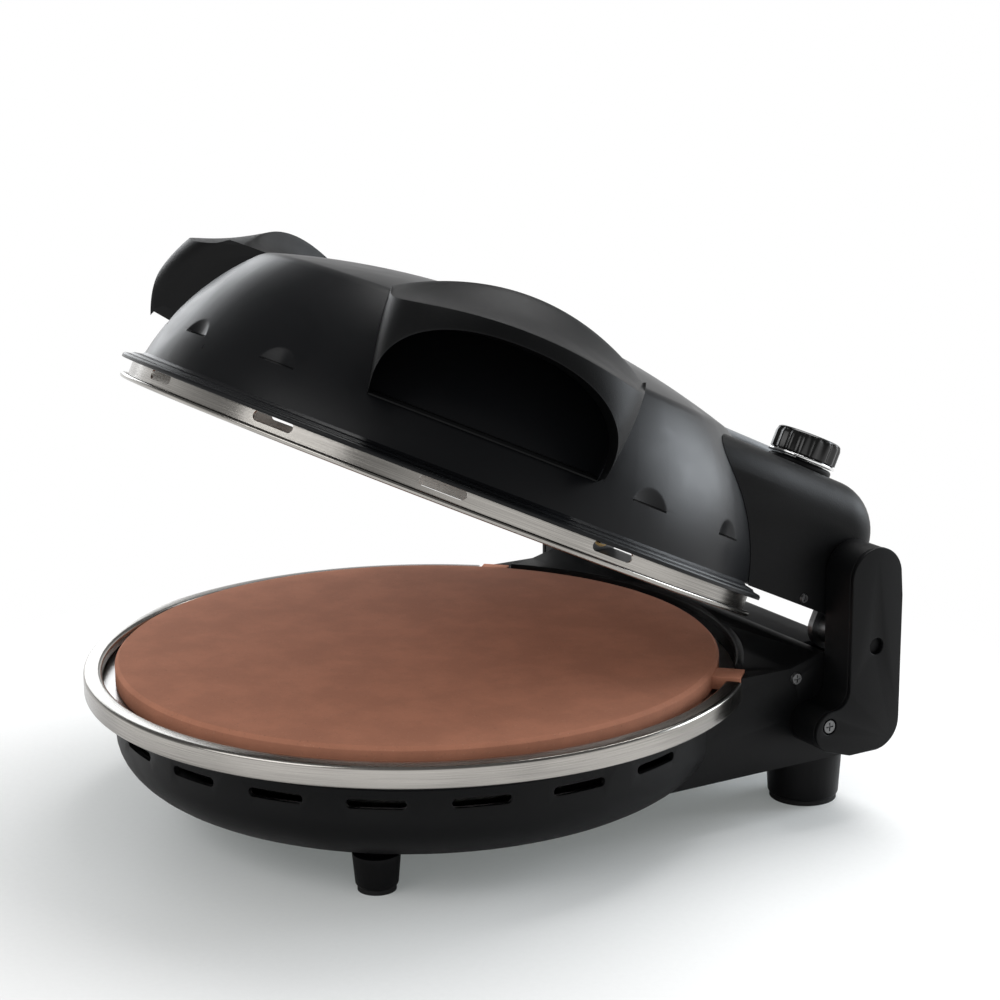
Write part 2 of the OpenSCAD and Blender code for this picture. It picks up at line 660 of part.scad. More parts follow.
// Stepped black rim at the dome's foot
module rim_section() polygon([
    [skirt_r - dome_t, skirt_z - 1], [dome_r(skirt_z + 1) - dome_t * 0.8, skirt_z + 1],
    [dome_r(skirt_z + 1) - dome_t * 0.2, skirt_z + 1], [skirt_r, skirt_z - 0.6],
    [skirt_r + 0.6, skirt_z - 1], [skirt_r + 1.6, skirt_z - 2],
    [rim_r - 5, skirt_z - 2.8], [rim_r - 4.2, skirt_z - 3.8], [rim_r - 0.8, skirt_z - 4.4],
    [rim_r, skirt_z - 5.2], [rim_r, skirt_z - 7], [rim_r - 1.4, skirt_z - 7],
    [rim_r - 1.4, skirt_z - 5.6], [rim_r - 5.4, rim_under_z], [skirt_r - dome_t, rim_under_z]]);

module lid_dome() color(satin) lid_frame() difference() {
    union() {
        difference() {
            dome_solid(0, skirt_z - 1);
            dome_solid(-dome_t, skirt_z - 2);
        }
        revolve_front(lid_end_a) rim_section();
        intersection() {
            at_louvres() dent_ball(dent_ball_r + dome_t);
            dome_solid(-dome_t / 2, skirt_z);
        }
    }
    at_louvres() dent_ball(dent_ball_r);
    for (s = [-1, 1]) translate([s * lead_x, crease_r, top_loop_z]) rotate([-90, 0, 0])
        cylinder(h = side_w + 20, r = tube_r + 2);
}

// Steel ring under the dome, with a rolled lip and long slots
module lid_ring() color(steel) lid_frame() difference() {
    revolve_front(lid_end_a) union() {
        polygon([[band_r, gap_z + 0.6], [band_r + ring_sheet, gap_z + 0.6],
                 [band_r + ring_sheet, ring_under_rim], [band_r - 6, ring_under_rim],
                 [band_r - 6, ring_under_rim - ring_sheet], [band_r, ring_under_rim - ring_sheet]]);
        translate([band_r, gap_z]) square([lip_w, 1.1]);
        translate([band_r + lip_w, gap_z + 1.5]) circle(r = 1.5);
    }
    for (k = [-lid_slots:lid_slots]) at_angle(k * slot_pitch_a)
        slot_cut(lid_slot_l, min(lid_slot_h, ring_under_rim - gap_z - 2), (ring_under_rim + gap_z) / 2,
                 band_r - 2, band_r + 3);
}

band_r = ring_r - 3.4;
lip_w = 3.4;
lid_slot_h = 5.4;
ring_under_rim = rim_under_z - seat;

// Bright inner dome that throws the upper element's heat down
module lid_reflector() color("#b5b3ae") lid_frame() difference() {
    rotate_extrude() polygon(concat(
        [for (p = dome_line(-reflector_gap, reflector_low)) p],
        [[0, dome_z - reflector_gap - pan_t]],
        [for (i = [28:-1:0]) let (l = dome_line(-reflector_gap - pan_t, reflector_low)) if (i < len(l)) l[i]]));
    for (s = [-1, 1]) translate([s * lead_x, crease_r - 20, top_loop_z]) rotate([-90, 0, 0])
        cylinder(h = side_w + 20, r = tube_r + 1);
}

reflector_gap = 12;
reflector_low = 105;

module upper_element() color("#7d7b78") lid_frame()
    element(top_loop_r, top_loop_z, upper_terminal_y + terminal_bore - 0.5);

upper_terminal_y = house_back_y - house_wall - terminal_d;

module upper_clips() color(steel) lid_frame()
    clips(top_loop_r, top_loop_z, cap_z(top_loop_r + 1, -reflector_gap - pan_t) - seat);

// ---- Grips ---------------------------------------------------------------------

// Arch factor across a grip: 1 in the middle, 0 at both ends, fuller with a higher n
function arch(t, n) = pow(max(0, 1 - pow(abs(t), n)), 1 / n);

grip_steps = 24;
crest_r = crease_r + 12;
crest_end_z = crease_z + 1.5;
back_foot_r = crease_r - 3;
ridge_r = skirt_r + lip_out - 2;
lip_t = 2.6;

// Share of the way from a grip's foot up to its shoulder, eased off towards the top
function grip_rise(z) = sin(90 * min(1, max(0, (z - grip_z) / (crest_end_z - grip_z))));
function grip_half_w(z) = grip_foot_w + (grip_top_w - grip_foot_w) * grip_rise(z);

// Outer edge of a grip's ends
function grip_end_r(z) = dome_r(z) + leg_out + (shoulder_out - leg_out) * grip_rise(z);

// One cross-section of a grip in the (radius, height) plane, at t from -1 to 1
function grip_section(t) =
    let (rise = arch(t, 2.3), swell = 1 - t * t,
         lz = grip_z + (lip_z - grip_z) * rise,
         l = [grip_end_r(lz) + (skirt_r + lip_out - grip_end_r(lip_z)) * rise, lz],
         r = [grip_end_r(crest_end_z) + (ridge_r - grip_end_r(crest_end_z)) * arch(t, 3.5),
              crest_end_z - ridge_drop * arch(t, 6) + (ridge_z + ridge_drop - crest_end_z) * swell],
         k = [crest_r, crest_end_z + (crest_z - crest_end_z) * swell],
         fz = grip_z + (lip_z + 1.5 - grip_z) * rise,
         inner = l + [-lip_t * 0.6, lip_t],
         foot = [dome_r(fz) + seat, fz],
         back = [back_foot_r, cap_z(back_foot_r) + seat],
         m = crease(seat))
    concat(
        // crest to ridge, a little dished
        [for (i = [0:4]) let (u = i / 4) k + (r - k) * u - [0, 2.5 * swell * sin(180 * u)]],
        // front face from the ridge to the lip, which bulges as the dome does
        [for (i = [1:5]) let (u = i / 5, p = r + (l - r) * u)
            p + [grip_end_r(p[1]) - grip_end_r(r[1]) - (grip_end_r(l[1]) - grip_end_r(r[1])) * u, 0]],
        // the hollow's ceiling, back to the dome
        [for (i = [0:3]) let (u = i / 4) inner + (foot - inner) * u + [0, 5 * swell * sin(180 * u)]],
        // up along the dome to the crease and over it
        [for (i = [0:4]) let (z = fz + (m[1] - fz) * i / 5) [dome_r(z) + seat, z]],
        [m],
        // back face up to the crest, hollowed
        [for (i = [0:2]) let (u = i / 3) back + (k - back) * u + [1, -1] * 2.5 * swell * sin(180 * u)]);

module grip() {
    n = len(grip_section(0));
    rings = [for (j = [0:grip_steps]) let (t = sin(-90 + 180 * j / grip_steps))
        [for (p = grip_section(t)) let (w = t * grip_half_w(p[1])) [w, -sqrt(p[0] * p[0] - w * w), p[1]]]];
    sides = [for (j = [0:grip_steps - 1], i = [0:n - 1])
        [j * n + i, j * n + (i + 1) % n, (j + 1) * n + (i + 1) % n, (j + 1) * n + i]];
    split = [for (q = sides) each [[q[0], q[1], q[2]], [q[0], q[2], q[3]]]];
    polyhedron(points = [for (r = rings) each r],
               faces = concat(split, [[for (i = [n - 1:-1:0]) i]], [[for (i = [0:n - 1]) grip_steps * n + i]]),
               convexity = 8);
}

module grip_right() color(black) lid_frame() at_angle(grip_a) grip();
module grip_left() color(black) lid_frame() mirror([1, 0, 0]) at_angle(grip_a) grip();

// ---- Rear housing ----------------------------------------------------------------

house_front_y = skirt_r - 115;

// Rounded body of the housing, w inside its outside surface
module housing_body(w) {
    front = house_front_y;
    half = house_x - w;
    back = house_back_y - w;
    top = house_top - w;
    intersection() {
        along_x(-half, half) {
            translate([front, house_low - w]) square([back - front, round_z - house_low + w]);
            translate([front, house_low - w]) square([round_y - front, top - house_low + w]);
            translate([round_y, round_z]) circle(r = house_round - w);
        }
        along_y(front, back + 1) rounded_top(half, house_low - 5, top, end_round - w);
        translate([0, 0, house_low - 5]) linear_extrude(top + 10 - house_low)
            rounded_top(half, front, back, end_round - w);
    }
}

// Room that the lid's rim and ring take, from a little inside the dome's foot
module rim_room(inside) translate([skirt_r - inside, house_low - 10])
    square([rim_r - skirt_r + inside + 5, skirt_z - house_low + 10 + seat]);

module rear_housing() color(black) lid_frame() difference() {
    intersection() {
        housing_body(0);
        translate([-house_x, 0, house_low]) cube([2 * house_x, house_back_y, house_top]);
    }
    housing_body(house_wall);
    dome_solid(seat, house_low - 10);
    // the lid's rim and ring end in a notch of each side wall
    revolve_front(lid_end_a + 1) rim_room(4);
    both() bar_x(bracket_x - 4, house_x + 1, hinge_y, hinge_z, lug_r + 0.5);
    translate([knob_x, knob_y, house_top - 10]) cylinder(h = 20, r = shaft_r + 1.5);
    translate([lens_x, lens_y, house_top - 10]) cylinder(h = 20, r = lens_r + 0.2);
    both() bar_x(house_x - 8, house_x + 1, side_screw_y, side_screw_z, 1.6);
}

lens_x = knob_x - 60;
lens_y = hinge_y - 36;
lens_r = 4.5;
side_screw_y = hinge_y - 38;
side_screw_z = house_low + 4;

// Flat plate that closes the housing from below, with a slot for each hinge bracket
house_plate_t = 2.5;
house_plate_reach = 74;
bracket_reach = 42;
bracket_slot_gap = 0.5;
bracket_slot_l = 60;

module housing_base() color(black) lid_frame() difference() {
    translate([0, 0, house_low]) linear_extrude(house_plate_t)
        rounded_top(house_x - house_wall - seat, hinge_y - house_plate_reach, house_back_y - house_wall - seat,
                    end_round - house_wall - seat);
    translate([0, 0, house_low - 1]) cylinder(h = 10, r = skirt_r + 0.6);
    revolve_front(lid_end_a + 1) rim_room(0);
    both() bar_x(bracket_x - 4, house_x + 1, hinge_y, hinge_z, lug_r + 0.5);
    both() translate([bracket_x - bracket_slot_gap, hinge_y - bracket_reach - bracket_slot_gap, house_low - 1])
        cube([bracket_t + 2 * bracket_slot_gap, bracket_slot_l, 4 * house_plate_t]);
}

module housing_screws() color(steel) lid_frame() both()
    translate([house_x, side_screw_y, side_screw_z]) rotate([0, 90, 0]) pan_screw(2.6, 1.2, 1.5, 6, 0);

// Steel bracket inside the housing that carries the lid on its hinge bolt
bracket_neck_h = 12;
bracket_web_h = 26;
bracket_web_back = 5;
bracket_tab = [20, 2.5];
module hinge_bracket() difference() {
    union() {
        along_x(bracket_x, bracket_x + bracket_t) {
            translate([hinge_y, hinge_z]) circle(r = lug_r);
            translate([hinge_y - lug_r, hinge_z]) square([lug_r, bracket_neck_h]);
            translate([hinge_y - bracket_reach, house_low + house_plate_t])
                square([bracket_reach - bracket_web_back, bracket_web_h]);
        }
        bar_x(bracket_x, arm_x - 1, hinge_y, hinge_z, bush_r + 2.5);
        translate([bracket_x, hinge_y - lug_r - bracket_tab[0], house_low + house_plate_t])
            cube([house_x - house_wall - seat - bracket_x, bracket_tab[0], bracket_tab[1]]);
    }
    bar_x(bracket_x - 1, arm_x, hinge_y, hinge_z, bush_r);
}

module hinge_bracket_right() color(steel) lid_frame() hinge_bracket();
module hinge_bracket_left() color(steel) lid_frame() mirror([1, 0, 0]) hinge_bracket();

module hinge_bushes() color("#c8a35a") lid_frame() both() difference() {
    bar_x(bracket_x, arm_x - 0.6, hinge_y, hinge_z, bush_r);
    bar_x(bracket_x - 1, arm_x, hinge_y, hinge_z, bolt_r + bolt_clear);
}

// Raised grey panel on the housing, between the dome and the knob
panel_end_inset = 59;
panel_knob_gap = 7;
panel_back_inset = 28;
panel_overlap = 12;
panel_round = 4;
panel_h = 6.5;
panel_left = panel_end_inset - house_x;
panel_right = knob_x - knob_r - panel_knob_gap;
module control_panel() color("#8d9195") lid_frame() difference() {
    along_x(panel_left, panel_right) polygon(concat(
        [[crease_r - panel_overlap, house_top], [hinge_y - panel_back_inset, house_top]],
        arc([hinge_y - panel_back_inset - panel_round, house_top + panel_h - panel_round],
            panel_round, 0, 90, 5),
        [[crease_r - panel_overlap, house_top + panel_h]]));
    dome_solid(seat, house_low);
    translate([lens_x, lens_y, house_top - 1]) cylinder(h = 20, r = lens_r + 0.2);
}

module pilot_lens() color("#d0452a", 0.8) lid_frame() translate([lens_x, lens_y, house_top - house_wall]) {
    cylinder(h = house_wall + panel_h, r = lens_r);
    translate([0, 0, house_wall + panel_h]) cylinder(h = 1.2, r1 = lens_r, r2 = lens_r - 1.2);
}

module pilot_lamp() color("#d8c9a0") lid_frame() translate([lens_x, lens_y, house_top - house_wall - 10]) {
    cylinder(h = 10, r = 3);
    translate([-5, -5, -3]) cube([10, 10, 6]);
}

// Bimetal thermostat with a bushing for its shaft, hung under the housing's top
module thermostat() color("#d9d3c4") lid_frame() translate([knob_x, knob_y, 0]) difference() {
    union() {
        translate([-17, -9, house_top - house_wall - 28]) cube([34, 23, 22]);
        translate([-12, -10, house_top - house_wall - 6]) cube([24, 20, 6]);
    }
    translate([0, 0, house_top - house_wall - 20]) cylinder(h = 40, r = shaft_r + 0.05);
}

module knob_collar() color(black) lid_frame() translate([knob_x, knob_y, house_top]) difference() {
    rotate_extrude() polygon([
        [shaft_r + 1.5, 0], [collar_r, 0], [collar_r, collar_h - 1], [collar_r - 1, collar_h],
        [shaft_r + 1.5, collar_h]]);
}

collar_r = knob_r - 1;
collar_h = 3.5;
knob_gap = 0.6;
trim_h = 1.6;
shaft_in_knob = 10;

module thermostat_shaft() color(steel) lid_frame() translate([knob_x, knob_y, 0]) difference() {
    translate([0, 0, house_top - house_wall - 18])
        cylinder(h = house_wall + 18 + collar_h + knob_gap + shaft_in_knob, r = shaft_r);
    translate([shaft_r - 1, -5, house_top + collar_h + knob_gap + trim_h]) cube([5, 10, shaft_in_knob]);
}

// Bright ring round the foot of the knob
module knob_skirt_ring() color(steel) lid_frame() translate([knob_x, knob_y, house_top + collar_h + knob_gap])
    rotate_extrude() polygon([
        [knob_r - 6, 0], [knob_r - 0.4, 0], [knob_r, trim_h / 2], [knob_r - 0.4, trim_h],
        [knob_r - 6, trim_h]]);

// Ribbed knob with a raised pointer on its top
knob_ribs = 16;
module control_knob() color("#121214") lid_frame()
    translate([knob_x, knob_y, house_top + collar_h + knob_gap + trim_h]) difference() {
        union() {
            rotate_extrude() polygon(concat([[0, 0], [knob_r - 0.8, 0]],
                arc([knob_r - 2.8, knob_h - 2], 2, 0, 90, 5), [[0, knob_h]]));
            for (k = [0:knob_ribs - 1]) rotate([0, 0, 360 * k / knob_ribs])
                translate([knob_r - 1.3, 0, 0.6]) cylinder(h = knob_h - 3, r = 1.3);
            translate([-1.2, 0, knob_h - 1]) cube([2.4, knob_r - 4, 1.8]);
        }
        difference() {
            translate([0, 0, -1]) cylinder(h = shaft_in_knob + 1 - trim_h, r = shaft_r);
            translate([shaft_r - 1, -5, -2]) cube([5, 10, shaft_in_knob + 4]);
        }
    }

module upper_terminals() color("#e6e0d2") lid_frame() terminals(upper_terminal_y, top_loop_z);

// ---- Build ----------------------------------------------------------------------------

base_shell();
trim_ring();
baking_stone();
lower_reflector();
lower_element();
lower_clips();
lower_terminals();
base_cover();
base_cover_screws();
front_feet();
rear_feet();
foot_pads();
arm_left();
arm_right();
arm_cover_left();
arm_cover_right();
hinge_bolts();
toe_screws();
case_screws();
cord_gland();
lid_dome();
lid_ring();
lid_reflector();
upper_element();
upper_clips();
grip_left();
grip_right();
rear_housing();
housing_base();
housing_screws();
hinge_bracket_left();
hinge_bracket_right();
hinge_bushes();
control_panel();
pilot_lens();
pilot_lamp();
thermostat();
knob_collar();
upper_terminals();
control_knob();
knob_skirt_ring();
thermostat_shaft();
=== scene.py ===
"""Smooth pieces and procedural finishes for a hinged electric pizza maker.

The mesh code measures in millimetres from the axis of the round base, with the lid closed.
Each piece is then carried into the shared frame, in metres and with the lid open.
"""
import json
import math

import bmesh
import bpy
from bpy.props import FloatProperty, FloatVectorProperty, IntProperty, PointerProperty
from mathutils import Matrix, Vector


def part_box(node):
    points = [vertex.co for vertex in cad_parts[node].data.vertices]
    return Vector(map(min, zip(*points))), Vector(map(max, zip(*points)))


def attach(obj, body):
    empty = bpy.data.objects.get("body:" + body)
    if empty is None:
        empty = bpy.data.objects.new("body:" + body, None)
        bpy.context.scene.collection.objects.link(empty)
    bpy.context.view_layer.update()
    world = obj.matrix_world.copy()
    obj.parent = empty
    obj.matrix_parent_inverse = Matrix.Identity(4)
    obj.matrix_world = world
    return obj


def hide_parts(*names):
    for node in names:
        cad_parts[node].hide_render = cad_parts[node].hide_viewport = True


bl_info = {
    "name": "Pizza Maker Finish",
    "version": (1, 0, 0),
    "blender": (4, 5, 0),
    "location": "View3D > Sidebar > Pizza Maker",
    "description": "Smooth pieces and finishes for a hinged electric pizza maker",
    "category": "Object",
}

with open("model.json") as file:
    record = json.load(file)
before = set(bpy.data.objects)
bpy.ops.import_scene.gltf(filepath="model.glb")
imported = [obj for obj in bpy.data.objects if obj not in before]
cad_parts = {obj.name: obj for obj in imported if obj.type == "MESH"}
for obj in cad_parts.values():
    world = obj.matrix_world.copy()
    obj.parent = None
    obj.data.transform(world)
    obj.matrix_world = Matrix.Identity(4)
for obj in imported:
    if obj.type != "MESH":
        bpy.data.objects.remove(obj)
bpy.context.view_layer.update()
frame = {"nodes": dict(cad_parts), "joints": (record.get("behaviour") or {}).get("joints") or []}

# ---- Sizes -------------------------------------------------------------------------------
# Lengths in millimetres. The trim ring's and the hinge's come from the frame, and the others hang
# on those. Only the grips, the louvres and the lid ring's slots differ a little from the solids'.

MM = 0.001
HINGE = next(j for j in frame["joints"] if j["name"] == "lid_hinge")
LID_OPEN = math.radians(-HINGE["range_deg"][0])
RING_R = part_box("trim_ring")[1][0] / MM
RING_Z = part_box("trim_ring")[1][2] / MM
HINGE_Y = RING_R + 12
HINGE_Z = HINGE["pos_m"][2] / MM
ORIGIN_Y = HINGE["pos_m"][1] / MM - HINGE_Y

BASE_FRAME = Matrix.Translation((0, ORIGIN_Y * MM, 0))
HINGE_POINT = Vector((0, HINGE_Y, HINGE_Z)) * MM
LID_FRAME = (BASE_FRAME @ Matrix.Translation(HINGE_POINT) @ Matrix.Rotation(-LID_OPEN, 4, "X")
             @ Matrix.Translation(-HINGE_POINT))

SEAT = 0.3
RING_BAND_H, RING_FLANGE_W, RING_SHEET, RING_END = 11.4, 10, 1, math.radians(131)
RING_BEND, RING_LIP_H = 2.2, 5
RIM_OUT_R = RING_R - 5
SKIRT_R, SKIRT_Z, SKIRT_BULGE, DOME_T = RING_R - 7, 104.7, 6.5, 1.5
DOME_Z, CREASE_R, CREASE_Z, CREASE_TURN = 198, SKIRT_R - 40, 176.5, 3.0
SKIRT_LOW = SKIRT_Z - 0.6
RIM_R, RIM_UNDER_Z, LID_END = RING_R + 4, SKIRT_Z - 5, math.radians(128)
BAND_R, BAND_LOW, BAND_TOP, BAND_FLANGE = RING_R - 3.4, RING_Z + 3, RIM_UNDER_Z - SEAT, 6
LIP_W, BEAD_R = 3.4, 1.5
SLOT_PITCH, SLOT_L, SLOT_H, SLOT_Z = math.radians(29.1), 24, 5.4, BAND_TOP - 3.9
SLOTS = [k * SLOT_PITCH for k in range(-3, 4)]
LOUVRE_PITCH, LOUVRE_W, LOUVRE_H, LOUVRE_Z = math.radians(23.3), 23, 9, 122
LOUVRES = [k * LOUVRE_PITCH for k in (-5, -4, -1, 0, 1, 4, 5)]
# How deep a louvre is pressed, how that fades, and the slit along its foot
DENT, DENT_POWER = 2.6, 1.3
SLIT, SLIT_H, SLIT_FROM, SLIT_FADE = 1.3, 1.0, 0.02, 4

ARM_X, ARM_W, ARM_HALF, COVER_T = RING_R - 49.5, 23.8, 17, 3
BODY_INSET, SEAM_GAP = 0.25, 0.15
BOLT_HOLE_R, SCREW_SINK_R, SCREW_HOLE_R, SINK_FLOOR = 4.6, 4.5, 1.8, 1.2
HOUSE_X, HOUSE_BACK, HOUSE_TOP, HOUSE_LOW = ARM_X - 1.5, HINGE_Y + 3, 173, 103
HOUSE_ROUND, END_ROUND = 30, 20
HINGE_POCKET_R, HINGE_POCKET_L = 12.5, 23
PLATE_Y, PLATE_T, PLATE_INSET, HOUSE_WALL = 120, 3, 6, 3
NOTCH_IN, NOTCH_OUT, NOTCH_PAST, NOTCH_LOW = 4, 16, 0.02, 90
KNOB_X, KNOB_Y, KNOB_R, KNOB_H = HOUSE_X - 41, HINGE_Y - 40, 19, 13
COLLAR_H, KNOB_GAP, TRIM_H, TRIM_W, RIB_DEPTH = 3.5, 0.6, 1.6, 6, 1.3
PANEL_LEFT, PANEL_RIGHT, PANEL_BACK = 59 - HOUSE_X, KNOB_X - KNOB_R - 7, HINGE_Y - 28
PANEL_H, PANEL_ROUND = 6.5, 4
ARM_TOP = (HINGE_Y - 0.5, HINGE_Z + 38, 16.5)
TOE = (HINGE_Y - 27.4, 53.6, 11.5)
TOE_HOLE = (HINGE_Y - 30.2, 57)
HEEL_R, ANKLE_R, ARM_LOW = 16, 10, 38

# The dome's outline: a shallow cap over a steeper skirt
CAP_RAD = (CREASE_R ** 2 + (DOME_Z - CREASE_Z) ** 2) / (2 * (DOME_Z - CREASE_Z))
CAP_Z0 = DOME_Z - CAP_RAD
CHORD = Vector((SKIRT_R - CREASE_R, SKIRT_Z - CREASE_Z))
SKIRT_RAD = ((CHORD.length / 2) ** 2 + SKIRT_BULGE ** 2) / (2 * SKIRT_BULGE)
SKIRT_C = (Vector((CREASE_R, CREASE_Z)) + CHORD / 2
           - (SKIRT_RAD - SKIRT_BULGE) * Vector((-CHORD.y, CHORD.x)) / CHORD.length)


def dome_r(z, off=0.0):
    """Radius of the dome's skirt at a height, moved outwards by off."""
    return SKIRT_C.x + math.sqrt((SKIRT_RAD + off) ** 2 - (z - SKIRT_C.y) ** 2)


def cap_z(r, off=0.0):
    """Height of the dome's cap at a radius."""
    return CAP_Z0 + math.sqrt((CAP_RAD + off) ** 2 - r * r)


# ---- Mesh helpers ------------------------------------------------------------------------

def turned(angle, r, z):
    """A point at an angle from the front, round the base's axis."""
    return (r * math.sin(angle), -r * math.cos(angle), z)


def span(low, high, steps):
    """Evenly spaced values from low to high, both included."""
    return [low + (high - low) * i / steps for i in range(steps + 1)]


def arc(cx, cy, r, start, end, steps=6):
    """Points of a circular arc, its angles in degrees."""
    return [(cx + r * math.cos(math.radians(a)), cy + r * math.sin(math.radians(a)))
            for a in span(start, end, steps)]


def rounded(points, radius, steps=4):
    """Rounds the corners of a closed outline, as far as its sides allow."""
    out = []
    for i, here in enumerate(points):
        here = Vector(here)
        before = Vector(points[i - 1]) - here
        after = Vector(points[(i + 1) % len(points)]) - here
        turn = before.angle(after, math.pi)
        size = radius[i] if isinstance(radius, (list, tuple)) else radius
        back = min(size / max(math.tan(turn / 2), 1e-4), before.length * 0.45, after.length * 0.45)
        if size <= 0 or turn > math.radians(172):
            out.append(tuple(here))
            continue
        start, end = here + before.normalized() * back, here + after.normalized() * back
        for u in span(0, 1, steps):
            out.append(tuple((1 - u) ** 2 * start + 2 * u * (1 - u) * here + u * u * end))
    return out


def loft(rings, wrap=False):
    """Joins rings of equally many points into one surface, and closes its two ends or wraps it."""
    size = len(rings[0])
    verts = [p for ring in rings for p in ring]
    faces = []
    last = len(rings) if wrap else len(rings) - 1
    for j in range(last):
        a, b = j * size, (j + 1) % len(rings) * size
        faces += [(a + i, a + (i + 1) % size, b + (i + 1) % size, b + i) for i in range(size)]
    if not wrap:
        faces.append(tuple(reversed(range(size))))
        faces.append(tuple(range(len(verts) - size, len(verts))))
    return verts, faces


def revolve(section, start=-math.pi, end=math.pi, columns=192):
    """Turns a closed (radius, height) outline round the axis, from one angle to another."""
    full = end - start > 2 * math.pi - 1e-6
    angles = span(start, end, columns)[:-1] if full else span(start, end, columns)
    return loft([[turned(a, r, z) for r, z in section] for a in angles], wrap=full)


def prism(outline, x0, x1):
    """Extrudes a (y, z) outline along X."""
    return loft([[(x, y, z) for y, z in outline] for x in (x0, x1)])


def kept(shape):
    """The same surface on its own side of the middle."""
    return shape


def mirrored(shape):
    """The same surface on the other side of the middle."""
    verts, faces = shape
    return [(-x, y, z) for x, y, z in verts], [tuple(reversed(f)) for f in faces]


SIDES = (("right", kept), ("left", mirrored))


def joined(*shapes):
    """Several surfaces in one mesh."""
    verts, faces = [], []
    for more_verts, more_faces in shapes:
        faces += [tuple(i + len(verts) for i in f) for f in more_faces]
        verts += more_verts
    return verts, faces


def new_object(name, shape, lid=False):
    """A mesh object in the base's or the lid's frame, with its faces turned outwards."""
    verts, faces = shape
    mesh = bpy.data.meshes.new(name)
    mesh.from_pydata([Vector(v) * MM for v in verts], [], faces)
    mesh.validate()
    mesh.update()
    obj = bpy.data.objects.new(name, mesh)
    obj.matrix_world = LID_FRAME if lid else BASE_FRAME
    bpy.context.scene.collection.objects.link(obj)
    bm = bmesh.new()
    bm.from_mesh(mesh)
    bmesh.ops.remove_doubles(bm, verts=bm.verts, dist=1e-6)
    bmesh.ops.dissolve_degenerate(bm, edges=bm.edges, dist=1e-6)
    bmesh.ops.recalc_face_normals(bm, faces=bm.faces)
    bm.to_mesh(mesh)
    bm.free()
    return obj


def apply_modifiers(obj):
    """Replaces the object's mesh by the result of its modifiers."""
    graph = bpy.context.evaluated_depsgraph_get()
    mesh = bpy.data.meshes.new_from_object(obj.evaluated_get(graph))
    obj.modifiers.clear()
    obj.data = mesh


def soft_edges(obj, width, segments=3, angle=40):
    """Rounds every edge sharper than an angle."""
    bevel = obj.modifiers.new("Soft edges", "BEVEL")
    bevel.width = width * MM
    bevel.segments = segments
    bevel.limit_method = "ANGLE"
    bevel.angle_limit = math.radians(angle)
    bevel.use_clamp_overlap = True
    bevel.miter_outer = "MITER_ARC"
    apply_modifiers(obj)


def cut_away(obj, cutters):
    """Cuts closed surfaces out of an object."""
    for shape in cutters:
        tool = new_object("cutter", shape)
        tool.matrix_world = obj.matrix_world
        cut = obj.modifiers.new("Cut", "BOOLEAN")
        cut.operation, cut.solver, cut.object = "DIFFERENCE", "EXACT", tool
        apply_modifiers(obj)
        bpy.data.objects.remove(tool)


def dress(obj, body, slot, replaces=(), smooth=32):
    """Gives a piece its finish, its shading and its body, and hides the solids that it replaces.

    Only turned sheet keeps its own axis, because its streaks run round it.
    """
    if slot not in TURNED_SLOTS:
        obj.data.transform(obj.matrix_world)
        obj.matrix_world = Matrix()
    obj.data.materials.clear()
    obj.data.materials.append(finish(slot))
    obj.data.shade_smooth()
    obj.data.set_sharp_from_angle(angle=math.radians(smooth))
    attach(obj, body)
    if replaces:
        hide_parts(*replaces)


def from_node(node, width, lid):
    """A copy of a solid in its body's frame, with its flat faces joined and its edges rounded."""
    obj = bpy.data.objects.new("soft_" + node, frame["nodes"][node].data.copy())
    place = LID_FRAME if lid else BASE_FRAME
    bpy.context.scene.collection.objects.link(obj)
    obj.data.transform(place.inverted())
    obj.matrix_world = place
    bm = bmesh.new()
    bm.from_mesh(obj.data)
    bmesh.ops.remove_doubles(bm, verts=bm.verts, dist=2e-6)
    bmesh.ops.dissolve_limit(bm, angle_limit=math.radians(0.6), verts=bm.verts, edges=bm.edges)
    bm.to_mesh(obj.data)
    bm.free()
    soft_edges(obj, width, segments=2, angle=35)
    return obj


# ---- Shader helpers ----------------------------------------------------------------------

class Shading:
    """Adds linked nodes to one shader tree."""

    def __init__(self, tree):
        self.tree = tree

    def add(self, kind, inputs=None, **settings):
        node = self.tree.nodes.new("ShaderNode" + kind)
        for key, value in settings.items():
            setattr(node, key, value)
        for key, value in (inputs or {}).items():
            self.put(node.inputs[key], value)
        return node

    def put(self, socket, value):
        if isinstance(value, bpy.types.NodeSocket):
            self.tree.links.new(value, socket)
        else:
            socket.default_value = value

    def math(self, operation, a, b=0.0, clamp=False):
        return self.add("Math", {0: a, 1: b}, operation=operation, use_clamp=clamp).outputs[0]

    def blend(self, factor, a, b):
        node = self.add("Mix", data_type="RGBA")
        for key, value in ((0, factor), (6, a), (7, b)):
            self.put(node.inputs[key], value)
        return node.outputs[2]

    def ramp(self, value, low, high):
        """0 below low and 1 above high, with a soft passage."""
        node = self.add("MapRange", {"Value": value, "From Min": low, "From Max": high},
                        interpolation_type="SMOOTHSTEP")
        return node.outputs["Result"]

    def noise(self, vector, scale, detail=2.0, rough=0.5, bend=0.0):
        node = self.add("TexNoise", {"Vector": vector, "Scale": scale, "Detail": detail,
                                     "Roughness": rough, "Distortion": bend})
        return node.outputs["Fac"]

    def group(self, name, **inputs):
        node = self.add("Group", node_tree=effect(name))
        for key, value in inputs.items():
            self.put(node.inputs[key.replace("_", " ")], value)
        return node.outputs


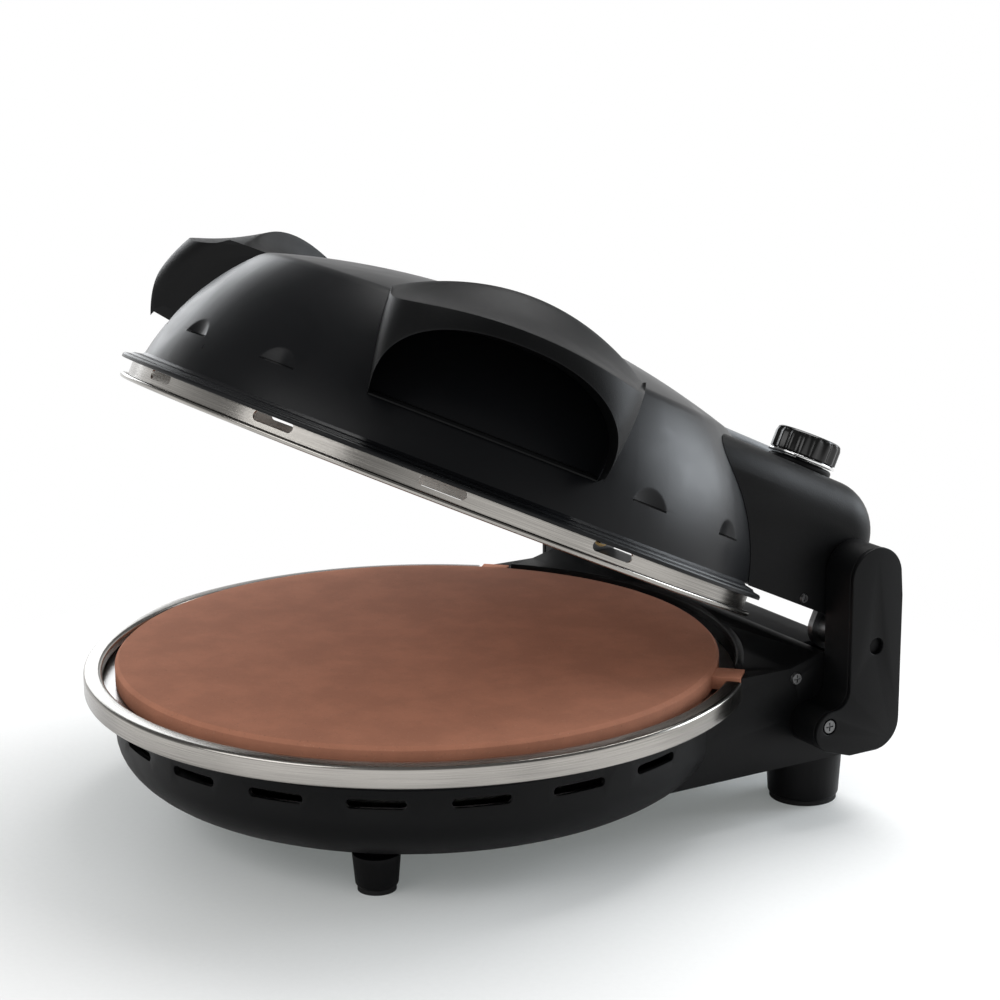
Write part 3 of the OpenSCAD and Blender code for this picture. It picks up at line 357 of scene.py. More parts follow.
def effect(name):
    """The node group of a shared effect, made when it is first asked for."""
    tree = bpy.data.node_groups.get(name)
    if tree is None:
        tree = bpy.data.node_groups.new(name, "ShaderNodeTree")
        inputs, outputs, build = EFFECTS[name]
        for label, default in inputs.items():
            socket = tree.interface.new_socket(
                label, in_out="INPUT", socket_type="NodeSocketFloat")
            socket.default_value = default
        for label, kind in outputs.items():
            tree.interface.new_socket(
                label, in_out="OUTPUT", socket_type="NodeSocket" + kind)
        given = tree.nodes.new("NodeGroupInput").outputs
        results = build(Shading(tree), given)
        end = tree.nodes.new("NodeGroupOutput")
        for label, socket in results.items():
            tree.links.new(socket, end.inputs[label])
    return tree


def moulded_grain(s, given):
    """Fine spark-eroded texture of a moulding, with a broad change of gloss."""
    place = s.add("TexCoord").outputs["Object"]
    grain = s.noise(place, given["Scale"], 3.0, 0.6)
    broad = s.noise(place, 22.0, 2.0)
    uneven = s.math("MULTIPLY", s.math("SUBTRACT", broad, 0.5), given["Variation"])
    bump = s.add("Bump", {"Strength": given["Depth"], "Distance": 0.0002, "Height": grain})
    return {"Roughness": s.math("ADD", given["Roughness"], uneven), "Normal": bump.outputs[0]}


def brushed_sheet(s, given):
    """Streaks that run round the axis, as on a spun or belt-brushed ring."""
    place = s.add("TexCoord").outputs["Object"]
    xyz = s.add("SeparateXYZ", {0: place}).outputs
    flat = s.add("CombineXYZ", {"X": xyz["X"], "Y": xyz["Y"]}).outputs[0]
    radius = s.add("VectorMath", {0: flat}, operation="LENGTH").outputs["Value"]
    angle = s.math("ARCTAN2", xyz["Y"], xyz["X"])
    lines = s.add("CombineXYZ", {
        "X": s.math("MULTIPLY", radius, given["Fineness"]),
        "Y": s.math("MULTIPLY", xyz["Z"], given["Fineness"]),
        "Z": s.math("MULTIPLY", angle, given["Length"])}).outputs[0]
    streak = s.noise(lines, 1.0, 3.0, 0.65)
    broad = s.noise(place, 9.0, 2.0)
    uneven = s.math("MULTIPLY", s.math("SUBTRACT", streak, 0.5), 0.16)
    bump = s.add("Bump", {"Strength": given["Depth"], "Distance": 0.00005, "Height": streak})
    return {"Streak": streak, "Broad": broad,
            "Roughness": s.math("ADD", given["Roughness"], uneven), "Normal": bump.outputs[0]}


def worn_edges(s, given):
    """Mask of the outer edges, where handling has polished or rubbed the surface."""
    bevel = s.add("Bevel", {"Radius": given["Width"]}, samples=4)
    normal = s.add("NewGeometry").outputs["Normal"]
    same = s.add("VectorMath", {0: bevel.outputs[0], 1: normal}, operation="DOT_PRODUCT")
    place = s.add("TexCoord").outputs["Object"]
    patchy = s.noise(place, 120.0, 3.0)
    edge = s.ramp(s.math("SUBTRACT", 1.0, same.outputs["Value"]), 0.02, 0.25)
    worn = s.math("MULTIPLY", edge, patchy)
    return {"Mask": s.math("MULTIPLY", worn, given["Amount"], clamp=True)}


def handling(s, given):
    """Broad, faint marks of wiping and touch that change the gloss."""
    place = s.add("TexCoord").outputs["Object"]
    marks = s.noise(place, given["Scale"], 4.0, 0.55, 1.5)
    return {"Mask": s.math("MULTIPLY", s.ramp(marks, 0.45, 0.75), given["Amount"])}


EFFECTS = {
    "Moulded Grain": ({"Scale": 1400.0, "Depth": 0.25, "Roughness": 0.5, "Variation": 0.1},
                      {"Roughness": "Float", "Normal": "Vector"}, moulded_grain),
    "Brushed Sheet": ({"Fineness": 3000.0, "Length": 3.0, "Roughness": 0.25, "Depth": 0.3},
                      {"Streak": "Float", "Broad": "Float", "Roughness": "Float",
                       "Normal": "Vector"}, brushed_sheet),
    "Worn Edges": ({"Width": 0.0008, "Amount": 0.5}, {"Mask": "Float"}, worn_edges),
    "Handling": ({"Scale": 14.0, "Amount": 0.5}, {"Mask": "Float"}, handling),
}


# The Brushed Sheet's Length where the streaks run round the axis
TURNED_STREAK = 3.0


def grey(value, warm=0.0):
    """A near-neutral colour, warmer or, below 0, cooler."""
    return (value * (1 + warm), value, value * (1 - warm), 1.0)


def plastic(s, colour, rough, grain=1400.0, depth=0.25, gloss=0.3, worn=0.5):
    """Moulded plastic: grain, uneven gloss and slightly paler worn edges."""
    skin = s.group("Moulded Grain", Scale=grain, Depth=depth, Roughness=rough, Variation=0.12)
    edge = s.group("Worn Edges", Width=0.0007, Amount=worn)["Mask"]
    touch = s.group("Handling", Scale=16.0, Amount=0.08)["Mask"]
    paler = tuple(min(1.0, c * 2.6 + 0.012) for c in colour[:3]) + (1.0,)
    return {"Base Color": s.blend(edge, colour, paler), "Specular IOR Level": gloss,
            "Roughness": s.math("SUBTRACT", skin["Roughness"], touch), "Normal": skin["Normal"]}


def metal(s, colour, rough, fineness=3000.0, length=900.0, depth=0.25, dark=0.72):
    """Bare metal with fine grains or streaks and a slow change of tone; on the stainless rings the
    darker patches are painted reflection of dark surroundings.
    """
    skin = s.group("Brushed Sheet", Fineness=fineness, Length=length, Roughness=rough,
                   Depth=depth)
    # Colour of the darker patches: uneven tone, and on the stainless rings painted reflection of
    # dark surroundings
    dark_tone_and_painted_reflection = tuple(c * dark for c in colour[:3]) + (1.0,)
    tone = s.math("MULTIPLY", s.math("ADD", skin["Streak"], skin["Broad"]), 0.5)
    return {"Base Color": s.blend(s.ramp(tone, 0.35, 0.62), dark_tone_and_painted_reflection, colour), "Metallic": 1.0,
            "Roughness": skin["Roughness"], "Normal": skin["Normal"]}


def heated_tube(s, brown, blue):
    """Steel tube tinted brown and blue by heat."""
    place = s.add("TexCoord").outputs["Object"]
    heat = s.noise(place, 18.0, 3.0, 0.6)
    colour = s.blend(s.ramp(heat, 0.35, 0.65), brown, blue)
    scale = s.noise(place, 1200.0, 2.0)
    bump = s.add("Bump", {"Strength": 0.3, "Distance": 0.0001, "Height": scale})
    return {"Base Color": colour, "Metallic": 0.7, "Roughness": s.ramp(scale, -0.6, 1.6),
            "Normal": bump.outputs[0]}


def clay(s, colour):
    """Unglazed clay: mottled, speckled, a little scorched, with open pores."""
    place = s.add("TexCoord").outputs["Object"]
    mottle = s.noise(place, 35.0, 4.0, 0.6)
    grit = s.noise(place, 700.0, 3.0, 0.7)
    specks = s.add("TexVoronoi", {"Vector": place, "Scale": 420.0}).outputs["Distance"]
    dark = tuple(c * 0.86 for c in colour[:3]) + (1.0,)
    colour = s.blend(s.ramp(mottle, 0.35, 0.7), dark, colour)
    scorch = s.math("MULTIPLY", s.ramp(grit, 0.62, 0.72), 0.5)
    colour = s.blend(scorch, colour, (0.20, 0.11, 0.07, 1.0))
    pale = s.math("MULTIPLY", s.ramp(specks, 0.16, 0.05), 0.4)
    colour = s.blend(pale, colour, (0.70, 0.48, 0.36, 1.0))
    bump = s.add("Bump", {"Strength": 0.5, "Distance": 0.00025, "Height": grit})
    return {"Base Color": colour, "Roughness": 0.86, "Specular IOR Level": 0.25,
            "Normal": bump.outputs[0]}


def clear_moulding(s, colour, paler):
    """Clear red moulding over the pilot lamp."""
    place = s.add("TexCoord").outputs["Object"]
    swirl = s.noise(place, 240.0, 2.0)
    colour = s.blend(swirl, colour, paler)
    return {"Base Color": colour, "Roughness": 0.14, "Transmission Weight": 0.35, "IOR": 1.49}


# The finishes whose streaks run round a piece's own axis
TURNED_SLOTS = ("stainless", "chrome_trim")
# Each slot's finish: the function that makes it, its colour or the setting that holds it, and
# its other values
FINISHES = {
    "black_plastic": (plastic, "plastic_colour", dict(rough=0.46, depth=0.5, gloss=0.14)),
    "dome_paint": (plastic, "dome_colour", dict(
        rough=0.36, grain=900.0, depth=0.1, gloss=0.2, worn=0.3)),
    "knob_black": (plastic, grey(0.006), dict(
        rough=0.2, grain=700.0, depth=0.05, gloss=0.5, worn=0.2)),
    "grey_panel": (plastic, grey(0.26, -0.04), dict(
        rough=0.38, grain=1100.0, depth=0.12, gloss=0.4)),
    "rubber": (plastic, grey(0.018), dict(rough=0.8, grain=600.0, depth=0.4, gloss=0.2)),
    "ceramic": (plastic, (0.72, 0.69, 0.60, 1.0), dict(
        rough=0.3, grain=300.0, depth=0.08, gloss=0.5, worn=0.1)),
    # On the stainless rings the darker patches, down to half the colour, are painted reflection of
    # dark surroundings
    "stainless": (metal, "steel_colour", dict(rough=0.2, length=TURNED_STREAK, dark=0.5)),
    "reflector": (metal, grey(0.66, 0.02), dict(rough=0.3, fineness=900.0, depth=0.1, dark=0.8)),
    "zinc_steel": (metal, grey(0.22, -0.01), dict(rough=0.34, fineness=1500.0, dark=0.6)),
    "bronze": (metal, (0.55, 0.38, 0.17, 1.0), dict(rough=0.32, fineness=1500.0)),
    "chrome_trim": (metal, grey(0.85), dict(
        rough=0.08, length=TURNED_STREAK, depth=0.05, dark=0.9)),
    "element_sheath": (heated_tube, (0.10, 0.085, 0.075, 1.0), dict(blue=(0.16, 0.16, 0.18, 1.0))),
    "fired_clay": (clay, "clay_colour", {}),
    "lens_red": (clear_moulding, (0.42, 0.02, 0.012, 1.0), dict(paler=(0.62, 0.05, 0.03, 1.0))),
}


def finish(slot):
    """The material of a slot of the record."""
    material = bpy.data.materials.get("Finish " + slot)
    if material is None:
        material = bpy.data.materials.new("Finish " + slot)
        material.use_nodes = True
        s = Shading(material.node_tree)
        shader = material.node_tree.nodes["Principled BSDF"]
        make, colour, values = FINISHES[slot]
        if isinstance(colour, str):
            colour = (*getattr(bpy.context.scene.pizza_maker_look, colour), 1.0)
        for key, value in make(s, colour, **values).items():
            s.put(shader.inputs[key], value)
    return material


# ---- Settings ----------------------------------------------------------------------------

class PizzaMakerLook(bpy.types.PropertyGroup):
    """Colours of the main finishes."""

    plastic_colour: FloatVectorProperty(
        name="Plastic", description="Colour of the black mouldings", subtype="COLOR",
        size=3, min=0, max=1, default=(0.0040, 0.0042, 0.0046))
    dome_colour: FloatVectorProperty(
        name="Dome", description="Colour of the dome's satin paint", subtype="COLOR",
        size=3, min=0, max=1, default=(0.0050, 0.0054, 0.0064))
    # Kept a little darker than bare steel, as painted reflection of dark surroundings
    steel_colour: FloatVectorProperty(
        name="Steel", description="Colour of the brushed rings", subtype="COLOR",
        size=3, min=0, max=1, default=(0.46, 0.44, 0.41))
    clay_colour: FloatVectorProperty(
        name="Clay", description="Colour of the baking stone", subtype="COLOR",
        size=3, min=0, max=1, default=(0.58, 0.25, 0.155))


class PizzaMakerDetail(bpy.types.PropertyGroup):
    """Sizes of the details that the meshes add to the solids."""

    edge_round: FloatProperty(
        name="Edge Rounding", description="Radius on the edges of the mouldings",
        unit="LENGTH", min=0.0001, max=0.002, default=0.0008)
    dent_depth: FloatProperty(
        name="Louvre Depth", description="How far each louvre is pressed into the dome",
        unit="LENGTH", min=0.001, max=0.004, default=DENT * MM)
    knob_ribs: IntProperty(
        name="Knob Ribs", description="Number of ribs round the knob", min=12, max=40, default=16)
    key_light: FloatProperty(
        name="Key Light", description="Power of the large soft lamp", unit="POWER",
        min=0, max=200, default=22)


# ---- Stage -------------------------------------------------------------------------------

CAMERA_PLACE = (1.094979, -0.613219, 0.479685)
CAMERA_RIGHT = (0.51050258, 0.85985278, -0.00634963)
CAMERA_UP = (-0.20433885, 0.12848408, 0.97043159)
CAMERA_BACK = (0.83524412, -0.49411036, 0.24129278)
FOCAL_PIXELS, PICTURE_PIXELS, SENSOR_MM = 2367.66, 1000, 36
FLOOR_HALF, FLOOR_SOLID_R, FLOOR_FADE_R, FLOOR_LIFT = 1.6, 0.22, 0.46, 0.15
FLOOR_TINT = (0.93, 1.0, 0.98, 1.0)
# The surroundings' plain light, and how far and between which heights their mirror image dims
WORLD_LIGHT, MIRROR_DIM, MIRROR_LOW, MIRROR_HIGH = 0.5, 0.85, 0.05, 0.45
# Each soft lamp's place, width and height, share of the key light's power, and colour
LAMPS = {
    "Key lamp": ((-0.25, 0.75, 1.65), (1.2, 1.1), 1.0, (1.0, 1.0, 1.0)),
    "Rear lamp": ((0.35, 1.7, 0.55), (1.0, 0.7), 0.8, (0.88, 0.94, 1.0)),
    "Side lamp": ((-1.7, 0.1, 0.6), (0.8, 0.7), 0.22, (0.94, 0.97, 1.0)),
    "Front lamp": ((0.2, -1.6, 1.3), (1.4, 0.8), 0.36, (1.0, 1.0, 1.0)),
}
LAMP_TARGET = Vector((0, 0, 0.12))


def soft_lamp(name, place, size, power, colour):
    """A large rectangular lamp that looks at the object."""
    lamp = bpy.data.lights.new(name, "AREA")
    lamp.shape, lamp.size, lamp.size_y = "RECTANGLE", *size
    lamp.energy, lamp.color = power, colour
    obj = bpy.data.objects.new(name, lamp)
    bpy.context.scene.collection.objects.link(obj)
    obj.location = place
    obj.rotation_euler = (LAMP_TARGET - Vector(place)).to_track_quat("-Z", "Y").to_euler()


class PIZZAMAKER_OT_stage(bpy.types.Operator):
    """Adds the camera, the pale floor, the lamps and the white surroundings"""

    bl_idname = "pizza_maker.stage"
    bl_label = "Stage"

    def execute(self, context):
        scene = context.scene
        scene.view_settings.view_transform = "Standard"
        lens = bpy.data.cameras.new("Camera")
        lens.sensor_width = SENSOR_MM
        lens.lens = FOCAL_PIXELS / PICTURE_PIXELS * SENSOR_MM
        camera = bpy.data.objects.new("Camera", lens)
        camera.matrix_world = Matrix.Translation(CAMERA_PLACE) @ Matrix(
            (CAMERA_RIGHT, CAMERA_UP, CAMERA_BACK)).transposed().to_4x4()
        scene.collection.objects.link(camera)
        scene.camera = camera

        self.floor(scene)
        self.surroundings(scene)
        power = scene.pizza_maker_detail.key_light
        for name, (place, size, share, colour) in LAMPS.items():
            soft_lamp(name, place, size, power * share, colour)
        return {"FINISHED"}

    def floor(self, scene):
        """A pale plane that fades into the white surroundings away from the object."""
        corners = [(x * FLOOR_HALF, y * FLOOR_HALF, 0)
                   for x, y in ((-1, -1), (1, -1), (1, 1), (-1, 1))]
        mesh = bpy.data.meshes.new("floor")
        mesh.from_pydata(corners, [], [(0, 1, 2, 3)])
        floor = bpy.data.objects.new("floor", mesh)
        scene.collection.objects.link(floor)
        material = bpy.data.materials.new("Pale floor")
        material.use_nodes = True
        s = Shading(material.node_tree)
        shader = material.node_tree.nodes["Principled BSDF"]
        place = s.add("TexCoord").outputs["Object"]
        away = s.add("VectorMath", {0: place}, operation="LENGTH").outputs["Value"]
        fine = s.noise(place, 300.0, 2.0)
        solid = s.math("SUBTRACT", 1.0, s.ramp(away, FLOOR_SOLID_R, FLOOR_FADE_R))
        seen = s.add("LightPath").outputs["Is Camera Ray"]
        for key, value in {"Base Color": s.blend(fine, grey(0.78), grey(0.82)), "Roughness": 0.6,
                           "Specular IOR Level": 0.1, "Emission Color": FLOOR_TINT,
                           "Emission Strength": s.math("MULTIPLY", seen, FLOOR_LIFT),
                           "Alpha": solid}.items():
            s.put(shader.inputs[key], value)
        floor.data.materials.append(material)

    def surroundings(self, scene):
        """White where it is seen or mirrored low down, dimmer overhead, and a plain pale light."""
        world = bpy.data.worlds.new("Surroundings")
        world.use_nodes = True
        s = Shading(world.node_tree)
        rays = s.add("LightPath").outputs
        height = s.add("SeparateXYZ", {0: s.add("TexCoord").outputs["Generated"]}).outputs["Z"]
        mirror = s.math("ADD", rays["Is Glossy Ray"], rays["Is Transmission Ray"], clamp=True)
        dim = s.math("MULTIPLY", s.ramp(height, MIRROR_LOW, MIRROR_HIGH), MIRROR_DIM)
        image = s.math("MULTIPLY", mirror, s.math("SUBTRACT", 1.0, dim))
        seen = s.math("ADD", rays["Is Camera Ray"], image, clamp=True)
        plain = s.math("MULTIPLY", rays["Is Diffuse Ray"], WORLD_LIGHT)
        back = world.node_tree.nodes["Background"]
        s.put(back.inputs["Color"], grey(1.0))
        s.put(back.inputs["Strength"], s.math("ADD", seen, plain))
        scene.world = world


# ---- Solids that keep their shape --------------------------------------------------------

# The nodes that take each finish as they are
CARRIED = {
    "reflector": ("lower_reflector", "lid_reflector"),
    "element_sheath": ("lower_element", "upper_element"),
    "zinc_steel": ("lower_clips", "base_cover_screws", "hinge_bolts", "toe_screws", "case_screws",
                   "upper_clips", "housing_screws", "hinge_bracket_left", "hinge_bracket_right",
                   "thermostat_shaft"),
    "ceramic": ("lower_terminals", "upper_terminals", "pilot_lamp", "thermostat"),
    "rubber": ("foot_pads",),
    "bronze": ("hinge_bushes",),
    "lens_red": ("pilot_lens",),
}

# The nodes whose edges are rounded: each one's body, finish and rounding
SOFTENED = {
    "base_shell": ("base", "black_plastic", 0.5), "base_cover": ("base", "black_plastic", 0.4),
    "front_feet": ("base", "black_plastic", 0.6), "rear_feet": ("base", "black_plastic", 0.8),
    "cord_gland": ("base", "rubber", 0.4), "baking_stone": ("base", "fired_clay", 0.8),
    "housing_base": ("lid", "black_plastic", 0.3), "knob_collar": ("lid", "black_plastic", 0.5),
}


class PIZZAMAKER_OT_solids(bpy.types.Operator):
    """Gives the solids that keep their shape their finishes"""

    bl_idname = "pizza_maker.solids"
    bl_label = "Carried Solids"

    def execute(self, context):
        for slot, nodes in CARRIED.items():
            for node in nodes:
                places = frame["nodes"][node].material_slots
                if not places:
                    raise RuntimeError(node + " has no material slot")
                for place in places:
                    place.material = finish(slot)
        return {"FINISHED"}


class PIZZAMAKER_OT_mouldings(bpy.types.Operator):
    """Rounds the edges of the plain mouldings and the stone"""

    bl_idname = "pizza_maker.mouldings"
    bl_label = "Plain Mouldings"

    def execute(self, context):
        for node, (body, slot, width) in SOFTENED.items():
            dress(from_node(node, width, body == "lid"), body, slot, [node])
        return {"FINISHED"}


# ---- Base pieces -------------------------------------------------------------------------

class PIZZAMAKER_OT_trim_ring(bpy.types.Operator):
    """Adds the folded steel ring round the base"""

    bl_idname = "pizza_maker.trim_ring"
    bl_label = "Trim Ring"

    def execute(self, context):
        flat_in = RING_R - RING_FLANGE_W
        low, lip = RING_Z - RING_BAND_H, RING_Z - RING_LIP_H
        bend, t = RING_BEND, RING_SHEET
        section = (
            [(RIM_OUT_R + SEAT, low), (RING_R - 1, low)] + arc(RING_R - 1, low + 1, 1, -90, 0, 4)
            + arc(RING_R - bend, RING_Z - bend, bend, 0, 90, 8)
            + arc(flat_in + bend, RING_Z - bend, bend, 90, 180, 8)
            + [(flat_in, lip), (flat_in + t, lip)]
            + arc(flat_in + bend, RING_Z - bend, bend - t, 180, 90, 4)
            + arc(RING_R - bend, RING_Z - bend, bend - t, 90, 0, 4)
            + [(RING_R - t, low + t), (RIM_OUT_R + SEAT, low + t)])
        ring = new_object("trim_ring_sheet", revolve(section, -RING_END, RING_END, 288))
        dress(ring, "base", "stainless", ["trim_ring"])
        return {"FINISHED"}


def boot_outline(inset=0.0, steps=10):
    """Side view of an arm, from the bottom of its toe, clockwise as seen from the right."""
    front, back = HINGE_Y - ARM_HALF + inset, HINGE_Y + ARM_HALF - inset
    (toe_y, toe_z, toe_r), (top_y, top_z, top_r) = TOE, ARM_TOP
    low, ankle, heel = ARM_LOW + inset, ANKLE_R + inset, HEEL_R - inset
    return ([(front + 1, low)] + arc(toe_y, toe_z, toe_r - inset, -100, -270, 2 * steps)
            + arc(front - ankle, toe_z + toe_r - inset + ankle, ankle, -90, 0, steps)
            + arc(top_y, top_z, top_r - inset, 180, 0, 2 * steps)
            + [(back, top_z - 12)]
            + arc(back - heel, low + heel, heel, 0, -90, steps))


class PIZZAMAKER_OT_arms(bpy.types.Operator):
    """Adds the two boot-shaped arms and their covers"""

    bl_idname = "pizza_maker.arms"
    bl_label = "Arms"

    def execute(self, context):
        soft = context.scene.pizza_maker_detail.edge_round / MM
        outside = ARM_X + ARM_W
        seam = outside - COVER_T
        body = prism(boot_outline(BODY_INSET), ARM_X, seam)
        cover = prism(boot_outline(), seam + SEAM_GAP, outside)
        bores = [bar_x(seam - 1, outside + 1, HINGE_Y, HINGE_Z, BOLT_HOLE_R),
                 bar_x(seam + SINK_FLOOR, outside + 1, *TOE_HOLE, SCREW_SINK_R),
                 bar_x(seam - 1, outside, *TOE_HOLE, SCREW_HOLE_R)]
        for side, flip in SIDES:
            arm = new_object("arm_body_" + side, flip(body))
            soft_edges(arm, soft)
            dress(arm, "base", "black_plastic", ["arm_" + side])
            plate = new_object("arm_plate_" + side, flip(cover))
            cut_away(plate, [flip(bore) for bore in bores])
            soft_edges(plate, soft)
            dress(plate, "base", "black_plastic", ["arm_cover_" + side])
        return {"FINISHED"}


def bar_x(x0, x1, y, z, r, steps=32):
    """A round bar along X."""
    return prism(arc(y, z, r, 0, 360, steps)[:-1], x0, x1)


# ---- Lid pieces --------------------------------------------------------------------------

def louvre_depth(angle, z, depth):
    """How far a louvre presses the dome in at a point of its skirt."""
    nearest = min(LOUVRES, key=lambda middle: abs(angle - middle))
    arch_r = ((LOUVRE_W / 2) ** 2 + LOUVRE_H ** 2) / (2 * LOUVRE_H)
    across = (angle - nearest) * dome_r(LOUVRE_Z)
    up = z - (LOUVRE_Z + LOUVRE_H - arch_r)
    if z < LOUVRE_Z - 1e-6:
        return 0.0
    inside = max(0.0, 1 - (across ** 2 + up ** 2) / arch_r ** 2)
    slit = SLIT if inside > SLIT_FROM and z < LOUVRE_Z + SLIT_H else 0.0
    return depth * inside ** DENT_POWER + slit * min(1.0, SLIT_FADE * inside)


def skirt_angles():
    """Columns round the dome, close together at each louvre."""
    half = 0.5 * LOUVRE_W / dome_r(LOUVRE_Z)
    marks = []
    for middle in LOUVRES:
        marks += span(middle - half, middle + half, 32)
    marks.append(marks[0] + 2 * math.pi)
    angles = []
    for a, b in zip(marks, marks[1:]):
        angles += span(a, b, max(1, round((b - a) / math.radians(2.4))))[:-1]
    return angles


class PIZZAMAKER_OT_dome(bpy.types.Operator):
    """Adds the pressed dome with its louvres, and the stepped rim at its foot"""

    bl_idname = "pizza_maker.dome"
    bl_label = "Dome"

    def execute(self, context):
        depth = context.scene.pizza_maker_detail.dent_depth / MM
        turn, over = CREASE_TURN, LOUVRE_Z + LOUVRE_H
        heights = (span(SKIRT_LOW, LOUVRE_Z - 1.2, 6) + [LOUVRE_Z - 0.3, LOUVRE_Z - 0.02]
                   + [LOUVRE_Z, LOUVRE_Z + SLIT_H - 0.05]
                   + span(LOUVRE_Z + SLIT_H, over + 0.5, 16) + span(over + 3, CREASE_Z - turn, 10))
        outer = [(dome_r(z), z, True) for z in heights]
        start, end = Vector(outer[-1][:2]), Vector((CREASE_R - turn, cap_z(CREASE_R - turn)))
        corner = Vector((CREASE_R, CREASE_Z))
        outer += [(*((1 - u) ** 2 * start + 2 * u * (1 - u) * corner + u * u * end), False)
                  for u in span(0, 1, 8)[1:]]
        outer += [(r, cap_z(r), False) for r in span(CREASE_R - turn, 1.0, 16)[1:]]
        inner = [(r, cap_z(r, -DOME_T), False) for r in span(1.0, CREASE_R - turn, 6)]
        inner += [(dome_r(z, -DOME_T), z, True) for z in
                  span(CREASE_Z - turn, over + 0.5, 3)
                  + [LOUVRE_Z + 4, LOUVRE_Z, LOUVRE_Z - 0.3, SKIRT_LOW]]
        rings = []
        for angle in skirt_angles():
            rings.append([turned(angle, r - (louvre_depth(angle, z, depth) if skirt else 0), z)
                          for r, z, skirt in outer + inner])
        verts, faces = loft(rings, wrap=True)
        size, top = len(outer) + len(inner), len(outer) - 1
        faces = [f for f in faces if not (f[0] % size == top and f[1] % size == top + 1)]
        faces.append(tuple(j * size + top for j in range(len(rings))))
        faces.append(tuple(j * size + top + 1 for j in reversed(range(len(rings)))))
        dome = new_object("dome_pressing", (verts, faces), lid=True)
        dress(dome, "lid", "dome_paint", ["lid_dome"], smooth=28)

        rim = rounded([
            (SKIRT_R - 1.2, SKIRT_Z + 0.6), (SKIRT_R + 0.4, SKIRT_Z - 0.9),
            (SKIRT_R + 1.6, SKIRT_Z - 2), (RIM_R - 5, SKIRT_Z - 2.8),
            (RIM_R - 4.2, SKIRT_Z - 3.8), (RIM_R - 0.8, SKIRT_Z - 4.4),
            (RIM_R, SKIRT_Z - 5.2), (RIM_R, SKIRT_Z - 7),
            (RIM_R - 1.4, SKIRT_Z - 7), (RIM_R - 1.4, SKIRT_Z - 5.6),
            (RIM_R - 5.4, RIM_UNDER_Z), (SKIRT_R - 1.2, RIM_UNDER_Z)],
            [0.3, 1, 1, 0.8, 0.8, 0.8, 0.8, 0.5, 0.5, 0.5, 0.5, 0.5], 3)
        flange = new_object("dome_rim", revolve(rim, -LID_END, LID_END, 288), lid=True)
        dress(flange, "lid", "dome_paint", ["lid_dome"])
        return {"FINISHED"}


def slot_half(angle):
    """Half the height of the steel ring's slot at an angle, and 0 between the slots."""
    nearest = min(SLOTS, key=lambda middle: abs(angle - middle))
    past = max(0.0, abs(angle - nearest) * BAND_R - (SLOT_L - SLOT_H) / 2)
    return math.sqrt(max(0.0, (SLOT_H / 2) ** 2 - past ** 2))


def slot_angles():
    """Columns round the lid's ring, close together at the round ends of its slots."""
    ends = [SLOT_H / 2 * (1 - math.cos(math.radians(a))) for a in span(0, 90, 10)]
    straight = span((SLOT_H - SLOT_L) / 2, (SLOT_L - SLOT_H) / 2, 10)[1:-1]
    along = [e - SLOT_L / 2 for e in ends] + straight + [SLOT_L / 2 - e for e in reversed(ends)]
    angles = [-LID_END]
    for middle in SLOTS:
        slot = [middle + d / BAND_R for d in along]
        angles += span(angles[-1], slot[0], 16)[1:] + slot[1:]
    return angles + span(angles[-1], LID_END, 24)[1:]


class PIZZAMAKER_OT_lid_ring(bpy.types.Operator):
    """Adds the slotted steel ring under the dome, with its turned-out lip"""

    bl_idname = "pizza_maker.lid_ring"
    bl_label = "Lid Ring"

    def execute(self, context):
        out, inmost, under = BAND_R + RING_SHEET, BAND_R - BAND_FLANGE, BAND_TOP - RING_SHEET
        foot = ([(BAND_R, BAND_LOW)] + arc(BAND_R + LIP_W, BAND_LOW + BEAD_R, BEAD_R, -90, 150, 10)
                + [(out + 0.5, BAND_LOW + 1.1), (out, BAND_LOW + 1.6)])
        head = [(out, BAND_TOP), (inmost, BAND_TOP), (inmost, under), (BAND_R, under)]
        below, above = [], []
        for angle in slot_angles():
            cut = slot_half(angle)
            low = foot + [(out, SLOT_Z - cut), (BAND_R, SLOT_Z - cut)]
            high = [(BAND_R, SLOT_Z + cut), (out, SLOT_Z + cut)] + head
            below.append([turned(angle, r, z) for r, z in low])
            above.append([turned(angle, r, z) for r, z in high])
        ring = new_object("lid_ring_sheet", joined(loft(below), loft(above)), lid=True)
        dress(ring, "lid", "stainless", ["lid_ring"])
        return {"FINISHED"}


# ---- Grips -------------------------------------------------------------------------------

GRIP_A, GRIP_TOP_W, GRIP_FOOT_W, GRIP_Z = math.radians(61.5), 66, 59, 124
LEG_OUT, SHOULDER_OUT, LIP_OUT, LIP_Z, LIP_T = 20.8, 24.5, 20, 169.7, 2.6
CREST_R, CREST_Z, CREST_END_Z = CREASE_R + 12, 196.5, CREASE_Z + 1.5
RIDGE_R, RIDGE_Z, RIDGE_DROP = SKIRT_R + LIP_OUT - 2, 177, 9.5
BACK_FOOT_R = CREASE_R - 3
LIP_ARCH, RIDGE_ARCH, DROP_ARCH = 2.3, 3.5, 6
DISH, HOLLOW_RISE, HOLLOW_UP, FINE = 2.5, 5, 1.5, 3
SILL = ((0.1, 0), (1.6, 0), (2.1, 0.7), (1.9, 1.9), (0.1, 2.6))


def arch(t, power):
    """1 in the middle of a grip and 0 at both ends."""
    return max(0.0, 1 - abs(t) ** power) ** (1 / power)


def grip_rise(z):
    """Share of the way from a grip's foot up to its shoulder, eased off towards the top."""
    return math.sin(math.pi / 2 * min(1.0, max(0.0, (z - GRIP_Z) / (CREST_END_Z - GRIP_Z))))


def grip_half_width(z):
    return GRIP_FOOT_W + (GRIP_TOP_W - GRIP_FOOT_W) * grip_rise(z)


def grip_end_r(z):
    """Outer edge of a grip's two ends."""
    return dome_r(z) + LEG_OUT + (SHOULDER_OUT - LEG_OUT) * grip_rise(z)


def bowed(a, b, push, steps):
    """Points from a to b, pushed aside in the middle."""
    return [a + (b - a) * u + Vector(push) * math.sin(math.pi * u) for u in span(0, 1, steps)]


